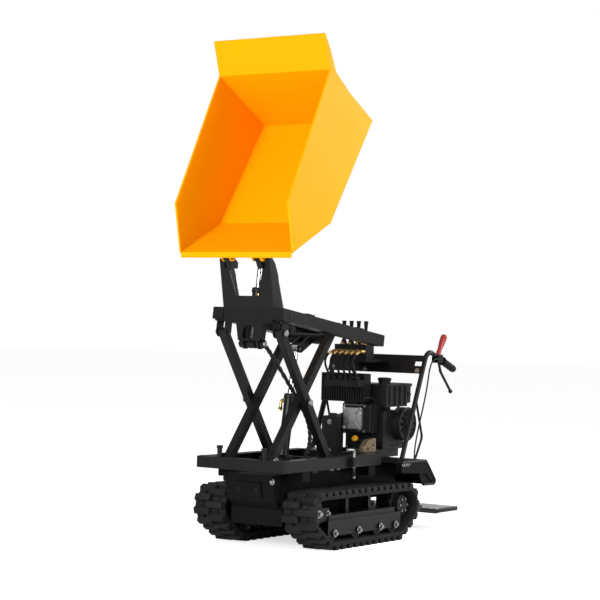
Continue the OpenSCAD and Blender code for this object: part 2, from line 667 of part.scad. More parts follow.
module footboard() shift() color("#3a3c3f") {
    bx(step_rear, step_x - 24, -step_half, step_half, step_z - 4, step_z);
    both() bx(step_rear + 10, step_x - 24, 150, 158, step_z - 24, step_z - 4);
    bx(step_x - 40, step_x - 24, -step_half, step_half, step_z - 24, step_z - 4);
    both() difference() {
        union() {
            bx(step_x - 40, step_x, 146, 156, step_z - 14, step_z + 14);
            yc(step_x, step_z, 146, 156, 20);
            yc(step_x, step_z, 120, 156, pin_r);
        }
    }
}

track_left();
track_right();
track_frame_left();
track_frame_right();
track_rollers();
idler_wheels();
drive_sprockets();
chassis_tub();
lower_beams();
lower_cross();
buffer_posts();
pivot_brackets();
rear_deck();
engine_block();
engine_head();
fuel_tank();
muffler();
recoil_starter();
hydraulic_pump();
valve_block();
valve_hoses();
console_panel();
handlebars();
hand_grips();
control_levers();
step_arms();
lift_hose();
leg_a_left();
leg_a_right();
leg_a_cross();
leg_b_left();
leg_b_right();
leg_b_axle();
upper_beams();
front_plate();
uprights();
tip_bracket();
rest_posts();
lift_barrel();
lift_rod();
tip_barrel();
tip_rod();
bucket_pan();
bucket_sides();
bucket_guard();
bucket_rails();
bucket_ears();
footboard();
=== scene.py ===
"""Tracked mini dumper, raised and tipped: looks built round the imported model, drawn in millimetres."""

import logging
import math
from dataclasses import dataclass, field
from enum import Enum, auto
from typing import Callable, Iterable, Mapping, Optional, Sequence

import bmesh
import bpy
from mathutils import Matrix, Vector


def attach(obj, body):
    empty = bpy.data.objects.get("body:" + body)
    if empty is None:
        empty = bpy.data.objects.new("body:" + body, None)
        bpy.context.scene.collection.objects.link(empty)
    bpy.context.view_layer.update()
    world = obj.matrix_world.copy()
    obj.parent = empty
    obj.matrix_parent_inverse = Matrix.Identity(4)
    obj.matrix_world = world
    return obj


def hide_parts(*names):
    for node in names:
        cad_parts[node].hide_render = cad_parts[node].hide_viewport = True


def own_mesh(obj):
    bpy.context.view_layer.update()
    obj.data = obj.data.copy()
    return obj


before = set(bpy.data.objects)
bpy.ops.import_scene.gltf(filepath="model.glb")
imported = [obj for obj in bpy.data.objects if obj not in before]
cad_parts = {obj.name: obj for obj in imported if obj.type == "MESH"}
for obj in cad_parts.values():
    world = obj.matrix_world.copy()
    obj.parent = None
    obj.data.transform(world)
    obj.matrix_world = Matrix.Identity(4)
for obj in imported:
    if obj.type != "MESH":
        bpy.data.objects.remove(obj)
LOG = logging.getLogger("dumper")
ORIGIN_X = -386.564  # the drawing's x at the frame's origin
TO_FRAME = Matrix.Scale(0.001, 4) @ Matrix.Translation((-ORIGIN_X, 0.0, 0.0))
TURN = 2 * math.pi
LEFT, RIGHT = 1.0, -1.0
SIDES = (LEFT, RIGHT)
OUT_Y = Vector((0.0, 1.0, 0.0))
UP = Vector((0.0, 0.0, 1.0))
AHEAD = Vector((1.0, 0.0, 0.0))
WHITE = (1.0, 1.0, 1.0, 1.0)
Pair = tuple[float, float]
Point = tuple[float, float, float]


def mm(x: float, y: float, z: float) -> Vector:
    """A point of the drawing, in millimetres."""
    return Vector((x, y, z))


def run(y: float, *spots: Pair) -> list[Vector]:
    """Points of the drawing that share one y, each given by its x and z."""
    return [mm(x, y, z) for x, z in spots]


def ray(angle: float) -> Vector:
    """Unit direction in the plane of x and z, by its angle in radians."""
    return mm(math.cos(angle), 0.0, math.sin(angle))


def ring(radius: float, z: float, sides: int) -> list[Vector]:
    """Points of a circle round local Z."""
    return [mm(radius * math.cos(TURN * k / sides), radius * math.sin(TURN * k / sides), z)
            for k in range(sides)]


def run_length(line: Sequence[Vector]) -> float:
    """Length of a line of points."""
    return sum((b - a).length for a, b in zip(line, line[1:]))


def smooth_line(points: Sequence[Vector], steps: int) -> list[Vector]:
    """Catmull-Rom line through points.

    Args:
        points: Points that the line passes through.
        steps: Steps between two points.

    Returns:
        The points of the line.
    """
    if len(points) < 3 or steps < 2:
        return list(points)
    ends = [points[0] * 2 - points[1], *points, points[-1] * 2 - points[-2]]
    line = []
    for a, b, c, d in zip(ends, ends[1:], ends[2:], ends[3:]):
        for t in (s / steps for s in range(steps)):
            line.append(0.5 * (2 * b + (c - a) * t + (2 * a - 5 * b + 4 * c - d) * t * t
                               + (3 * b - a - 3 * c + d) * t ** 3))
    return [*line, points[-1]]


class Body(str, Enum):
    """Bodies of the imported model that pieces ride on."""

    CHASSIS = "chassis"
    LEG_A = "leg_a"
    LEG_B = "leg_b"
    UPPER = "upper_frame"
    BUCKET = "bucket"
    FOOTBOARD = "footboard"
    LIFT_BARREL = "lift_barrel"
    TIP_BARREL = "tip_barrel"


class Slot(str, Enum):
    """Material slots of the record."""

    TRACK_RUBBER = "track_rubber"
    BLACK_RUBBER = "black_rubber"
    YELLOW = "yellow_paint"
    CHROME = "rod_chrome"
    CAST = "cast_metal"
    ENGINE = "engine_black"
    IRON = "wheel_iron"
    PLATE = "tread_plate"
    LEVER = "lever_paint"
    BLACK = "black_paint"


class Ends(Enum):
    """What closes a row of rings at its two ends."""

    CAPPED = auto()
    OPEN = auto()
    LOOP = auto()


# Finishes


def add_node(tree: bpy.types.NodeTree, kind: str, values: Optional[Mapping[str | int, float | Point]] = None,
             group: Optional[bpy.types.NodeTree] = None) -> bpy.types.Node:
    """Adds a shader node.

    Args:
        tree: Takes the node.
        kind: Node type without its prefix.
        values: Input values by socket name or number.
        group: The group that a group node places.

    Returns:
        The node.
    """
    node = tree.nodes.new(f"ShaderNode{kind}")
    if group:
        node.node_tree = group
    for socket, value in (values or {}).items():
        node.inputs[socket].default_value = value
    return node


class EffectGroups:
    """Node groups that several finishes share, each built once."""

    def __init__(self) -> None:
        """Builds orange peel with a broad variation, dust on faces that look up, and long thin scuffs."""
        self.grain = self._group(
            "fine_grain", {"Scale": 900.0, "Broad": 6.0}, ("Height", "Variation"),
            {"place": ("TexCoord", {}), "fine": ("TexNoise", {"Detail": 2.0}),
             "broad": ("TexNoise", {"Detail": 5.0})},
            "place.Object>fine.Vector in.Scale>fine.Scale place.Object>broad.Vector in.Broad>broad.Scale "
            "fine.Fac>out.Height broad.Fac>out.Variation")
        self.dust = self._group(
            "settled_dust", {"Amount": 0.2, "Scale": 18.0}, ("Mask",),
            {"shape": ("NewGeometry", {}), "split": ("SeparateXYZ", {}), "place": ("TexCoord", {}),
             "noise": ("TexNoise", {"Detail": 6.0}), "up": ("Math", {1: 0.12}, "MAXIMUM"),
             "broken": ("Math", {}, "MULTIPLY"), "total": ("Math", {}, "MULTIPLY")},
            "shape.Normal>split.0 split.Z>up.0 place.Object>noise.Vector in.Scale>noise.Scale up.0>broken.0 "
            "noise.Fac>broken.1 broken.0>total.0 in.Amount>total.1 total.0>out.Mask")
        self.streak = self._group(
            "long_scuffs", {"Scale": 14.0, "Edge": 0.66}, ("Mask",),
            {"place": ("TexCoord", {}), "stretch": ("Mapping", {"Scale": (0.35, 7.0, 1.2)}),
             "noise": ("TexNoise", {"Detail": 8.0}), "over": ("Math", {}, "SUBTRACT", True),
             "gain": ("Math", {1: 5.0}, "MULTIPLY", True)},
            "place.Object>stretch.Vector stretch.Vector>noise.Vector in.Scale>noise.Scale noise.Fac>over.0 "
            "in.Edge>over.1 over.0>gain.0 gain.0>out.Mask")

    @staticmethod
    def _group(name: str, inputs: Mapping[str, float], outputs: Sequence[str], nodes: Mapping[str, tuple],
               wires: str) -> bpy.types.NodeTree:
        """Builds one group.

        Args:
            name: Name of the group.
            inputs: Float inputs with their defaults.
            outputs: Float outputs.
            nodes: Type, input values, operation and clamping of each node.
            wires: Links as node.socket>node.socket, where in and out are the group's own ends.

        Returns:
            The group's tree.
        """
        tree = bpy.data.node_groups.new(name, "ShaderNodeTree")
        for label, value in inputs.items():
            socket = tree.interface.new_socket(label, in_out="INPUT", socket_type="NodeSocketFloat")
            socket.default_value = value
        for label in outputs:
            tree.interface.new_socket(label, in_out="OUTPUT", socket_type="NodeSocketFloat")
        made = {"in": tree.nodes.new("NodeGroupInput"), "out": tree.nodes.new("NodeGroupOutput")}
        for key, (kind, values, *maths) in nodes.items():
            made[key] = add_node(tree, kind, values)
            if maths:
                made[key].operation = maths[0]
                made[key].use_clamp = len(maths) > 1
        for wire in wires.split():
            (start, source), (end, sink) = (tip.split(".") for tip in wire.split(">"))
            tree.links.new(made[start].outputs[int(source) if source.isdigit() else source],
                           made[end].inputs[int(sink) if sink.isdigit() else sink])
        return tree


@dataclass(frozen=True)
class Finish:
    """One surface finish: colours, gloss, grain, dust and scuffs."""

    name: str
    colour: Point
    second: Point
    roughness: float
    spread: float = 0.10
    metallic: float = 0.0
    grain_scale: float = 900.0
    grain_depth: float = 0.0002
    broad: float = 7.0
    dust: float = 0.01
    dust_colour: Point = (0.33, 0.30, 0.26)
    scuffs: float = 0.0
    scuff_colour: Point = (0.5, 0.5, 0.5)
    coat: float = 0.0
    specular: float = 0.5
    slot: Slot = Slot.BLACK

    DUST_SCALE = 16.0
    SCUFF_SCALE = 12.0
    SCUFF_EDGE = 0.72
    BUMP = 0.6
    SMOOTHEST = 0.03
    COAT_ROUGHNESS = 0.25

    def build(self, groups: EffectGroups) -> bpy.types.Material:
        """Makes the node material.

        Args:
            groups: The shared effects.

        Returns:
            The finished material.
        """
        material = bpy.data.materials.new(self.name)
        material.use_nodes = True
        tree = material.node_tree
        shader = tree.nodes["Principled BSDF"]
        link = tree.links.new
        grain = add_node(tree, "Group", {"Scale": self.grain_scale, "Broad": self.broad}, groups.grain)
        dust = add_node(tree, "Group", {"Amount": self.dust * 2.0, "Scale": self.DUST_SCALE}, groups.dust)
        tone = self._mix(tree, grain.outputs["Variation"], self.colour, self.second)
        if self.scuffs > 0.0:
            edge = self.SCUFF_EDGE - 0.2 * self.scuffs
            scuff = add_node(tree, "Group", {"Scale": self.SCUFF_SCALE, "Edge": edge}, groups.streak)
            tone = self._mix(tree, scuff.outputs["Mask"], tone, self.scuff_colour)
        link(self._mix(tree, dust.outputs["Mask"], tone, self.dust_colour), shader.inputs["Base Color"])
        rough = add_node(tree, "MapRange", {"To Min": max(self.SMOOTHEST, self.roughness - self.spread),
                                            "To Max": min(1.0, self.roughness + self.spread)})
        link(grain.outputs["Variation"], rough.inputs["Value"])
        link(rough.outputs["Result"], shader.inputs["Roughness"])
        bump = add_node(tree, "Bump", {"Strength": self.BUMP, "Distance": self.grain_depth})
        link(grain.outputs["Height"], bump.inputs["Height"])
        link(bump.outputs["Normal"], shader.inputs["Normal"])
        shader.inputs["Metallic"].default_value = self.metallic
        shader.inputs["Coat Weight"].default_value = self.coat
        shader.inputs["Coat Roughness"].default_value = self.COAT_ROUGHNESS
        shader.inputs["Specular IOR Level"].default_value = self.specular
        return material

    @staticmethod
    def _mix(tree: bpy.types.NodeTree, mask: bpy.types.NodeSocket, first: Point | bpy.types.NodeSocket,
             second: Point) -> bpy.types.NodeSocket:
        """Mixes two colours by a mask.

        Args:
            tree: The material's tree.
            mask: Factor socket.
            first: A colour socket or a plain colour.
            second: The colour where the mask is one.

        Returns:
            The mixed colour's socket.
        """
        node = add_node(tree, "Mix")
        node.data_type = "RGBA"
        colours = [socket for socket in node.inputs if socket.type == "RGBA"]
        tree.links.new(mask, node.inputs[0])
        if isinstance(first, tuple):
            colours[0].default_value = (*first, 1.0)
        else:
            tree.links.new(first, colours[0])
        colours[1].default_value = (*second, 1.0)
        return next(socket for socket in node.outputs if socket.type == "RGBA")


class Palette:
    """Every finish of the machine, by plain name."""

    FINISHES = (
        Finish("black_powder_coat", (0.0042, 0.0044, 0.0049), (0.0070, 0.0072, 0.0078), 0.34, 0.08,
               grain_scale=700.0, grain_depth=0.00035, dust=0.005, scuffs=0.10,
               scuff_colour=(0.020, 0.020, 0.021), specular=0.20),
        Finish("bucket_yellow", (0.90, 0.37, 0.0), (0.87, 0.35, 0.0), 0.42, 0.07, grain_scale=420.0,
               grain_depth=0.00025, broad=3.5, dust=0.008, dust_colour=(0.75, 0.42, 0.10), scuffs=0.08,
               scuff_colour=(0.82, 0.33, 0.01), specular=0.06, slot=Slot.YELLOW),
        Finish("track_rubber", (0.0062, 0.0062, 0.0065), (0.0130, 0.0128, 0.0125), 0.62, 0.12,
               grain_scale=260.0, grain_depth=0.0008, dust=0.02, specular=0.14, slot=Slot.TRACK_RUBBER),
        Finish("moulded_rubber", (0.0060, 0.0060, 0.0063), (0.0110, 0.0110, 0.0113), 0.55,
               grain_scale=500.0, grain_depth=0.0004, specular=0.14, slot=Slot.BLACK_RUBBER),
        Finish("rod_chrome", (0.80, 0.80, 0.82), (0.72, 0.73, 0.75), 0.10, 0.05, metallic=1.0,
               grain_depth=0.00002, dust=0.0, slot=Slot.CHROME),
        Finish("zinc_plate", (0.40, 0.40, 0.39), (0.27, 0.27, 0.265), 0.36, metallic=1.0,
               grain_scale=1500.0, grain_depth=0.0001, dust=0.03, slot=Slot.CHROME),
        Finish("cast_aluminium", (0.42, 0.42, 0.425), (0.26, 0.26, 0.265), 0.42, metallic=1.0,
               grain_scale=650.0, grain_depth=0.0006, dust=0.04, slot=Slot.CAST),
        Finish("engine_black", (0.0075, 0.0075, 0.0080), (0.0150, 0.0150, 0.0160), 0.36, grain_scale=800.0,
               grain_depth=0.0003, specular=0.16, slot=Slot.ENGINE),
        # Dark iron of the wheels and hubs, also put on the frame's weld beads as a painted highlight for the
        # light seam edges.
        Finish("dark_iron_and_weld_highlight", (0.012, 0.012, 0.0125), (0.030, 0.029, 0.027), 0.52, 0.12, metallic=0.3,
               grain_scale=380.0, grain_depth=0.0008, dust=0.04, scuffs=0.3,
               scuff_colour=(0.08, 0.078, 0.075), specular=0.3, slot=Slot.IRON),
        Finish("tread_steel", (0.10, 0.10, 0.102), (0.17, 0.17, 0.17), 0.42, 0.12, metallic=0.85,
               grain_scale=520.0, grain_depth=0.0004, dust=0.08, scuffs=0.3,
               scuff_colour=(0.42, 0.42, 0.42), slot=Slot.PLATE),
        # Darker, duller copy of the black paint: painted shade on the rear deck, the chassis tub and the deck
        # corners.
        Finish("painted_shade_black", (0.0028, 0.0028, 0.0030), (0.0050, 0.0050, 0.0053), 0.45, 0.08,
               grain_scale=700.0, grain_depth=0.0003, dust=0.005, specular=0.07),
        Finish("tread_crown", (0.80, 0.80, 0.79), (0.66, 0.66, 0.655), 0.34, metallic=0.8,
               grain_scale=520.0, dust=0.03, slot=Slot.PLATE),
        Finish("lever_red", (0.34, 0.020, 0.014), (0.26, 0.014, 0.010), 0.34, 0.06, grain_scale=600.0,
               dust=0.02, coat=0.2, slot=Slot.LEVER),
        Finish("fitting_brass", (0.72, 0.50, 0.18), (0.52, 0.34, 0.11), 0.32, metallic=1.0,
               grain_scale=1200.0, grain_depth=0.0001, dust=0.03, slot=Slot.CAST),
        Finish("hose_rubber", (0.0070, 0.0070, 0.0073), (0.0130, 0.0130, 0.0132), 0.46, grain_scale=1000.0,
               grain_depth=0.0003, specular=0.16, slot=Slot.BLACK_RUBBER),
        Finish("oil_cap_yellow", (0.90, 0.42, 0.015), (0.78, 0.34, 0.010), 0.40, 0.06, dust=0.02,
               slot=Slot.YELLOW),
        Finish("bronze_casting", (0.36, 0.27, 0.16), (0.22, 0.17, 0.11), 0.42, 0.12, metallic=0.9,
               grain_scale=700.0, grain_depth=0.0005, dust=0.05, slot=Slot.CAST),
        Finish("panel_plastic", (0.0085, 0.0085, 0.0090), (0.0150, 0.0150, 0.0155), 0.50, 0.08,
               grain_scale=1400.0, specular=0.16, slot=Slot.ENGINE),
    )

    def __init__(self) -> None:
        """Builds every material."""
        groups = EffectGroups()
        self.made = {finish.name: (finish.build(groups), finish.slot) for finish in self.FINISHES}

    def dress(self, thing: bpy.types.Object, name: str) -> None:
        """Gives an object one finish in all its slots.

        Args:
            thing: The mesh object.
            name: Name of the finish.
        """
        material, slot = self.made[name]
        if not thing.data.materials:
            thing.data.materials.append(material)
        for index in range(len(thing.data.materials)):
            thing.data.materials[index] = material


# Mesh building


class Shape:
    """A mesh in the making, in millimetres, from rounded boxes and plates, turned parts and tubes."""

    RIPPLE = 6.0  # length of one ripple of a weld bead

    def __init__(self) -> None:
        """Starts empty."""
        self.bm = bmesh.new()

    @staticmethod
    def skin(mesh: bmesh.types.BMesh, rings: Sequence[Sequence[Vector]],
             ends: Ends = Ends.CAPPED) -> list[list[bmesh.types.BMVert]]:
        """Joins neighbouring rings by faces.

        Args:
            mesh: Takes the faces.
            rings: Points of each ring, where a ring of one point is a pole.
            ends: What closes the first and the last ring.

        Returns:
            The vertices of each ring.
        """
        verts = [[mesh.verts.new(point) for point in points] for points in rings]
        for first, second in zip(verts, verts[1:] + (verts[:1] if ends is Ends.LOOP else [])):
            for k in range(max(len(first), len(second))):
                n = k + 1
                corners = (first[k % len(first)], first[n % len(first)], second[n % len(second)],
                           second[k % len(second)])
                mesh.faces.new(dict.fromkeys(corners))
        if ends is Ends.CAPPED:
            mesh.faces.new(verts[0][::-1])
            mesh.faces.new(verts[-1])
        return verts

    def add(self, part: bmesh.types.BMesh, matrix: Matrix = Matrix.Identity(4)) -> None:
        """Moves a part into place and takes it in.

        Args:
            part: The part, which is used up.
            matrix: Its place.
        """
        part.transform(matrix)
        held = bpy.data.meshes.new("held")
        part.to_mesh(held)
        part.free()
        self.bm.from_mesh(held)
        bpy.data.meshes.remove(held)

    @staticmethod
    def _facing(place: Vector, along: Vector) -> Matrix:
        """Matrix that puts local +Z along a direction at a place."""
        return Matrix.Translation(place) @ along.normalized().to_track_quat("Z", "Y").to_matrix().to_4x4()

    def block(self, low: Vector, high: Vector, bevel: float) -> None:
        """Adds a box with rounded edges.

        Args:
            low: Lowest corner.
            high: Highest corner.
            bevel: Edge radius.
        """
        part = bmesh.new()
        bmesh.ops.create_cube(part, size=1.0)
        size = high - low
        part.transform(Matrix.Diagonal((*size, 1.0)))
        bmesh.ops.bevel(part, geom=part.edges[:], offset=min(bevel, min(size) * 0.45), segments=2,
                        profile=0.7, affect="EDGES")
        self.add(part, Matrix.Translation((low + high) / 2))

    def turned(self, place: Vector, along: Vector, profile: Sequence[Pair], sides: int = 32) -> None:
        """Adds a solid of revolution.

        Args:
            place: Start of the axis.
            along: Axis direction.
            profile: Radius and distance along the axis, with radius zero as a closed end.
            sides: Facets round the axis.
        """
        part = bmesh.new()
        self.skin(part, [ring(r, z, sides) if r > 0 else [UP * z] for r, z in profile], Ends.OPEN)
        self.add(part, self._facing(place, along))

    def rod(self, start: Vector, end: Vector, radius: float, sides: int = 24,
            round_end: float = 0.15) -> None:
        """Adds a straight bar with slightly rounded ends.

        Args:
            start: One end.
            end: Other end.
            radius: Bar radius.
            sides: Facets round the bar.
            round_end: Share of the radius used for the rounding.
        """
        length, c = (end - start).length, radius * round_end
        half = [(0, 0), (radius - c, 0), (radius - 0.3 * c, 0.3 * c), (radius, c)]
        self.turned(start, end - start, half + [(r, length - z) for r, z in half[::-1]], sides)

    def bolt(self, place: Vector, along: Vector, size: float, washer: bool = True) -> None:
        """Adds a hexagon head with a chamfer.

        Args:
            place: Point of the surface it sits on.
            along: Direction out of the surface.
            size: Width across the flats.
            washer: Whether a washer lies under it.
        """
        base = size * 0.13 if washer else 0.0
        if washer:
            self.turned(place, along, [(0, 0), (size * 0.95, 0), (size * 0.98, base * 0.3),
                                       (size * 0.95, base), (0, base)], 28)
        radius, height = size / math.sqrt(3.0), size * 0.62
        part = bmesh.new()
        self.skin(part, [ring(radius * r, base + height * h, 6) for r, h in ((1, 0), (1, 0.84), (0.86, 1))])
        self.add(part, self._facing(place, along))

    def tube(self, points: Sequence[Vector], radius: float | Callable[[float], float], sides: int = 14,
             smooth: int = 6) -> None:
        """Adds a round tube along a smooth line through the points.

        Args:
            points: Points that the line passes through.
            radius: Radius, or a function of the share of the way along.
            sides: Facets round the tube.
            smooth: Steps between two points.
        """
        line = smooth_line(points, smooth)
        last = len(line) - 1
        rings, across = [], None
        for index, here in enumerate(line):
            ahead = (line[min(index + 1, last)] - line[max(index - 1, 0)]).normalized()
            if across is None:
                across = ahead.orthogonal().normalized()
            across = (across - ahead * across.dot(ahead)).normalized()
            other = ahead.cross(across)
            r = radius(index / last) if callable(radius) else radius
            rings.append([here + across * p.x + other * p.y for p in ring(r, 0.0, sides)])
        part = bmesh.new()
        self.skin(part, rings)
        self.add(part)

    def prism(self, outline: Sequence[Vector], depth: Vector, bevel: float) -> None:
        """Adds a plate: a flat outline pushed along a direction, with broken edges.

        Args:
            outline: Corners of the flat face.
            depth: Push.
            bevel: Edge radius.
        """
        part = bmesh.new()
        self.skin(part, [outline, [point + depth for point in outline]])
        bmesh.ops.recalc_face_normals(part, faces=part.faces)
        bmesh.ops.bevel(part, geom=part.edges[:], offset=bevel, segments=2, profile=0.7, affect="EDGES",
                        clamp_overlap=True)
        self.add(part)

    def bead(self, start: Vector, end: Vector, radius: float, steps: int = 0) -> None:
        """Adds a weld bead: a thin straight tube with ripples.

        Args:
            start: One end.
            end: Other end.
            radius: Bead radius.
            steps: Steps along the bead, where zero means three to a ripple.
        """
        ripples = (end - start).length / self.RIPPLE
        count = steps or max(8, int(ripples * 3 + 0.001))
        line = [start.lerp(end, k / count) for k in range(count + 1)]
        self.tube(line, lambda s: radius * (0.82 + 0.18 * math.cos(s * ripples * TURN)), 8, 1)

    def make(self, name: str, sharp: float) -> bpy.types.Object:
        """Turns the shape into an object of the scene, in the frame's metres.

        Args:
            name: Object name.
            sharp: Edges above this angle stay sharp, in degrees.

        Returns:
            The object.
        """
        mesh = bpy.data.meshes.new(name)
        bmesh.ops.recalc_face_normals(self.bm, faces=self.bm.faces)
        self.bm.transform(TO_FRAME)
        self.bm.to_mesh(mesh)
        self.bm.free()
        mesh.polygons.foreach_set("use_smooth", [True] * len(mesh.polygons))
        mesh.set_sharp_from_angle(angle=math.radians(sharp))
        thing = bpy.data.objects.new(name, mesh)
        bpy.context.scene.collection.objects.link(thing)
        return thing


def shapes(count: int) -> list[Shape]:
    """Several empty shapes."""
    return [Shape() for _ in range(count)]


@dataclass
class Workshop:
    """Takes finished shapes: names, dresses and mounts them on their bodies."""

    palette: Palette
    made: int = 0

    def mount(self, shape: Shape, name: str, body: Body, finish: str, replaces: Iterable[str] = (),
              sharp: float = 35.0) -> bpy.types.Object:
        """Finishes a shape as a piece of the machine.

        Args:
            shape: The mesh in the making.
            name: Piece name.
            body: Body it rides on.
            finish: Finish name.
            replaces: Nodes that it stands for.
            sharp: Sharp edge angle in degrees.

        Returns:
            The piece.
        """
        thing = shape.make(name, sharp)
        self.palette.dress(thing, finish)
        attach(thing, body.value)
        if replaces:
            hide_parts(*replaces)
        self.made += 1
        LOG.info("piece %s on %s, %s", name, body.value, finish)
        return thing

    def fit(self, body: Body, **pieces: tuple[Shape, str]) -> None:
        """Mounts several shapes on one body, each given as name=(shape, finish)."""
        for name, (shape, finish) in pieces.items():
            self.mount(shape, name, body, finish)


# Studio


@dataclass
class Studio:
    """Camera at the photograph's place, pale floor and soft lights."""

    yaw: float = 33.88
    pitch: float = 0.60
    roll: float = 1.45
    place: Point = (8.0606, 5.207, 1.107)
    lens: float = 112.3
    reach: float = 40000.0
    floor_grey: float = 0.93
    # strength as light and as seen by the camera
    floor_glow: Pair = (0.0, 0.6)
    surround: Pair = (0.4, 1.0)
    # name, place, aim, size and power of each panel
    panels: tuple[tuple[str, Point, Point, float, float], ...] = (
        ("front_panel", (6.6, 0.2, 2.4), (0.3, 0.0, 1.6), 2.6, 360.0),
        ("side_panel", (-0.2, 6.2, 2.6), (0.1, 0.0, 1.4), 2.4, 230.0),
        ("top_panel", (-0.4, 0.5, 5.4), (0.0, 0.0, 1.0), 2.6, 12.0),
        ("rear_panel", (-4.2, 2.4, 3.0), (-0.2, 0.0, 0.8), 2.2, 110.0),
    )

    def camera(self) -> None:
        """Makes the camera."""
        yaw, pitch, roll = (math.radians(a) for a in (self.yaw, self.pitch, self.roll))
        ahead = Vector((-math.cos(yaw), -math.sin(yaw), 0.0))
        right = Vector((-math.sin(yaw), math.cos(yaw), 0.0))
        look = ahead * math.cos(pitch) + UP * math.sin(pitch)
        high = UP * math.cos(pitch) - ahead * math.sin(pitch)
        side = right * math.cos(roll) + high * math.sin(roll)
        top = high * math.cos(roll) - right * math.sin(roll)
        data = bpy.data.cameras.new("photo_camera")
        data.lens = self.lens
        data.sensor_width = 36.0
        data.clip_end = 60.0
        camera = bpy.data.objects.new("photo_camera", data)
        turn = Matrix((side, top, -look)).transposed().to_4x4()
        camera.matrix_world = Matrix.Translation(Vector(self.place)) @ turn
        bpy.context.scene.collection.objects.link(camera)
        bpy.context.scene.camera = camera

    @staticmethod
    def _seen(tree: bpy.types.NodeTree, socket: bpy.types.NodeSocket, light: float, view: float) -> None:
        """Gives a strength one value as light and another as seen by the camera.

        Args:
            tree: Tree that holds the socket.
            socket: The strength to set.
            light: Value for all other rays.
            view: Value for camera rays.
        """
        span = add_node(tree, "MapRange", {"To Min": light, "To Max": view})
        tree.links.new(add_node(tree, "LightPath").outputs["Is Camera Ray"], span.inputs["Value"])
        tree.links.new(span.outputs["Result"], socket)

    def floor(self) -> None:
        """Makes the pale floor."""
        shape, far = Shape(), self.reach
        corners = [mm(ORIGIN_X + x, y, 0.0) for x, y in ((-far, -far), (far, -far), (far, far), (-far, far))]
        shape.bm.faces.new([shape.bm.verts.new(c) for c in corners])
        floor = shape.make("studio_floor", 35.0)
        material = bpy.data.materials.new("pale_floor")
        material.use_nodes = True
        shader = material.node_tree.nodes["Principled BSDF"]
        shader.inputs["Base Color"].default_value = (*[self.floor_grey] * 3, 1.0)
        shader.inputs["Roughness"].default_value = 0.9
        shader.inputs["Emission Color"].default_value = WHITE
        self._seen(material.node_tree, shader.inputs["Emission Strength"], *self.floor_glow)
        floor.data.materials.append(material)

    def lights(self) -> None:
        """Makes a bright surround and the soft panels."""
        world = bpy.data.worlds.new("studio_surround")
        bpy.context.scene.world = world
        world.use_nodes = True
        back = world.node_tree.nodes["Background"]
        back.inputs["Color"].default_value = WHITE
        self._seen(world.node_tree, back.inputs["Strength"], *self.surround)
        for name, place, aim, size, power in self.panels:
            data = bpy.data.lights.new(name, "AREA")
            data.shape = "SQUARE"
            data.size = size
            data.energy = power
            light = bpy.data.objects.new(name, data)
            light.location = place
            light.rotation_euler = (Vector(aim) - Vector(place)).to_track_quat("-Z", "Y").to_euler()
            bpy.context.scene.collection.objects.link(light)

    def build(self) -> None:
        """Makes the whole studio."""
        self.camera()
        self.floor()
        self.lights()
        bpy.context.scene.view_settings.view_transform = "Standard"


# Machine


@dataclass
class CadDress:
    """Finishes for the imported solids, where those not named are powder coated black."""

    finishes: dict[str, tuple[str, ...]] = field(default_factory=lambda: {
        "track_rubber": ("track_left", "track_right"), "moulded_rubber": ("buffer_posts", "hand_grips"),
        "dark_iron_and_weld_highlight": ("track_rollers", "idler_wheels", "drive_sprockets"),
        "panel_plastic": ("recoil_starter",),
        "engine_black": ("engine_block", "engine_head", "fuel_tank", "muffler", "hydraulic_pump"),
        "hose_rubber": ("valve_hoses", "lift_hose"), "rod_chrome": ("lift_rod", "tip_rod"),
        "bucket_yellow": ("bucket_pan", "bucket_sides", "bucket_guard", "bucket_rails", "bucket_ears"),
        # the rear deck and the chassis tub take the darker black as painted shade
        "tread_steel": ("footboard",), "painted_shade_black": ("rear_deck", "chassis_tub"),
    })

    def apply(self, palette: Palette) -> None:
        """Dresses every node.

        Args:
            palette: The finishes.
        """
        chosen = {node: finish for finish, nodes in self.finishes.items() for node in nodes}
        for name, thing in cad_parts.items():
            palette.dress(thing, chosen.get(name, "black_powder_coat"))


@dataclass
class Assembly:
    """A sub-assembly, which hands its pieces to the workshop."""

    workshop: Workshop


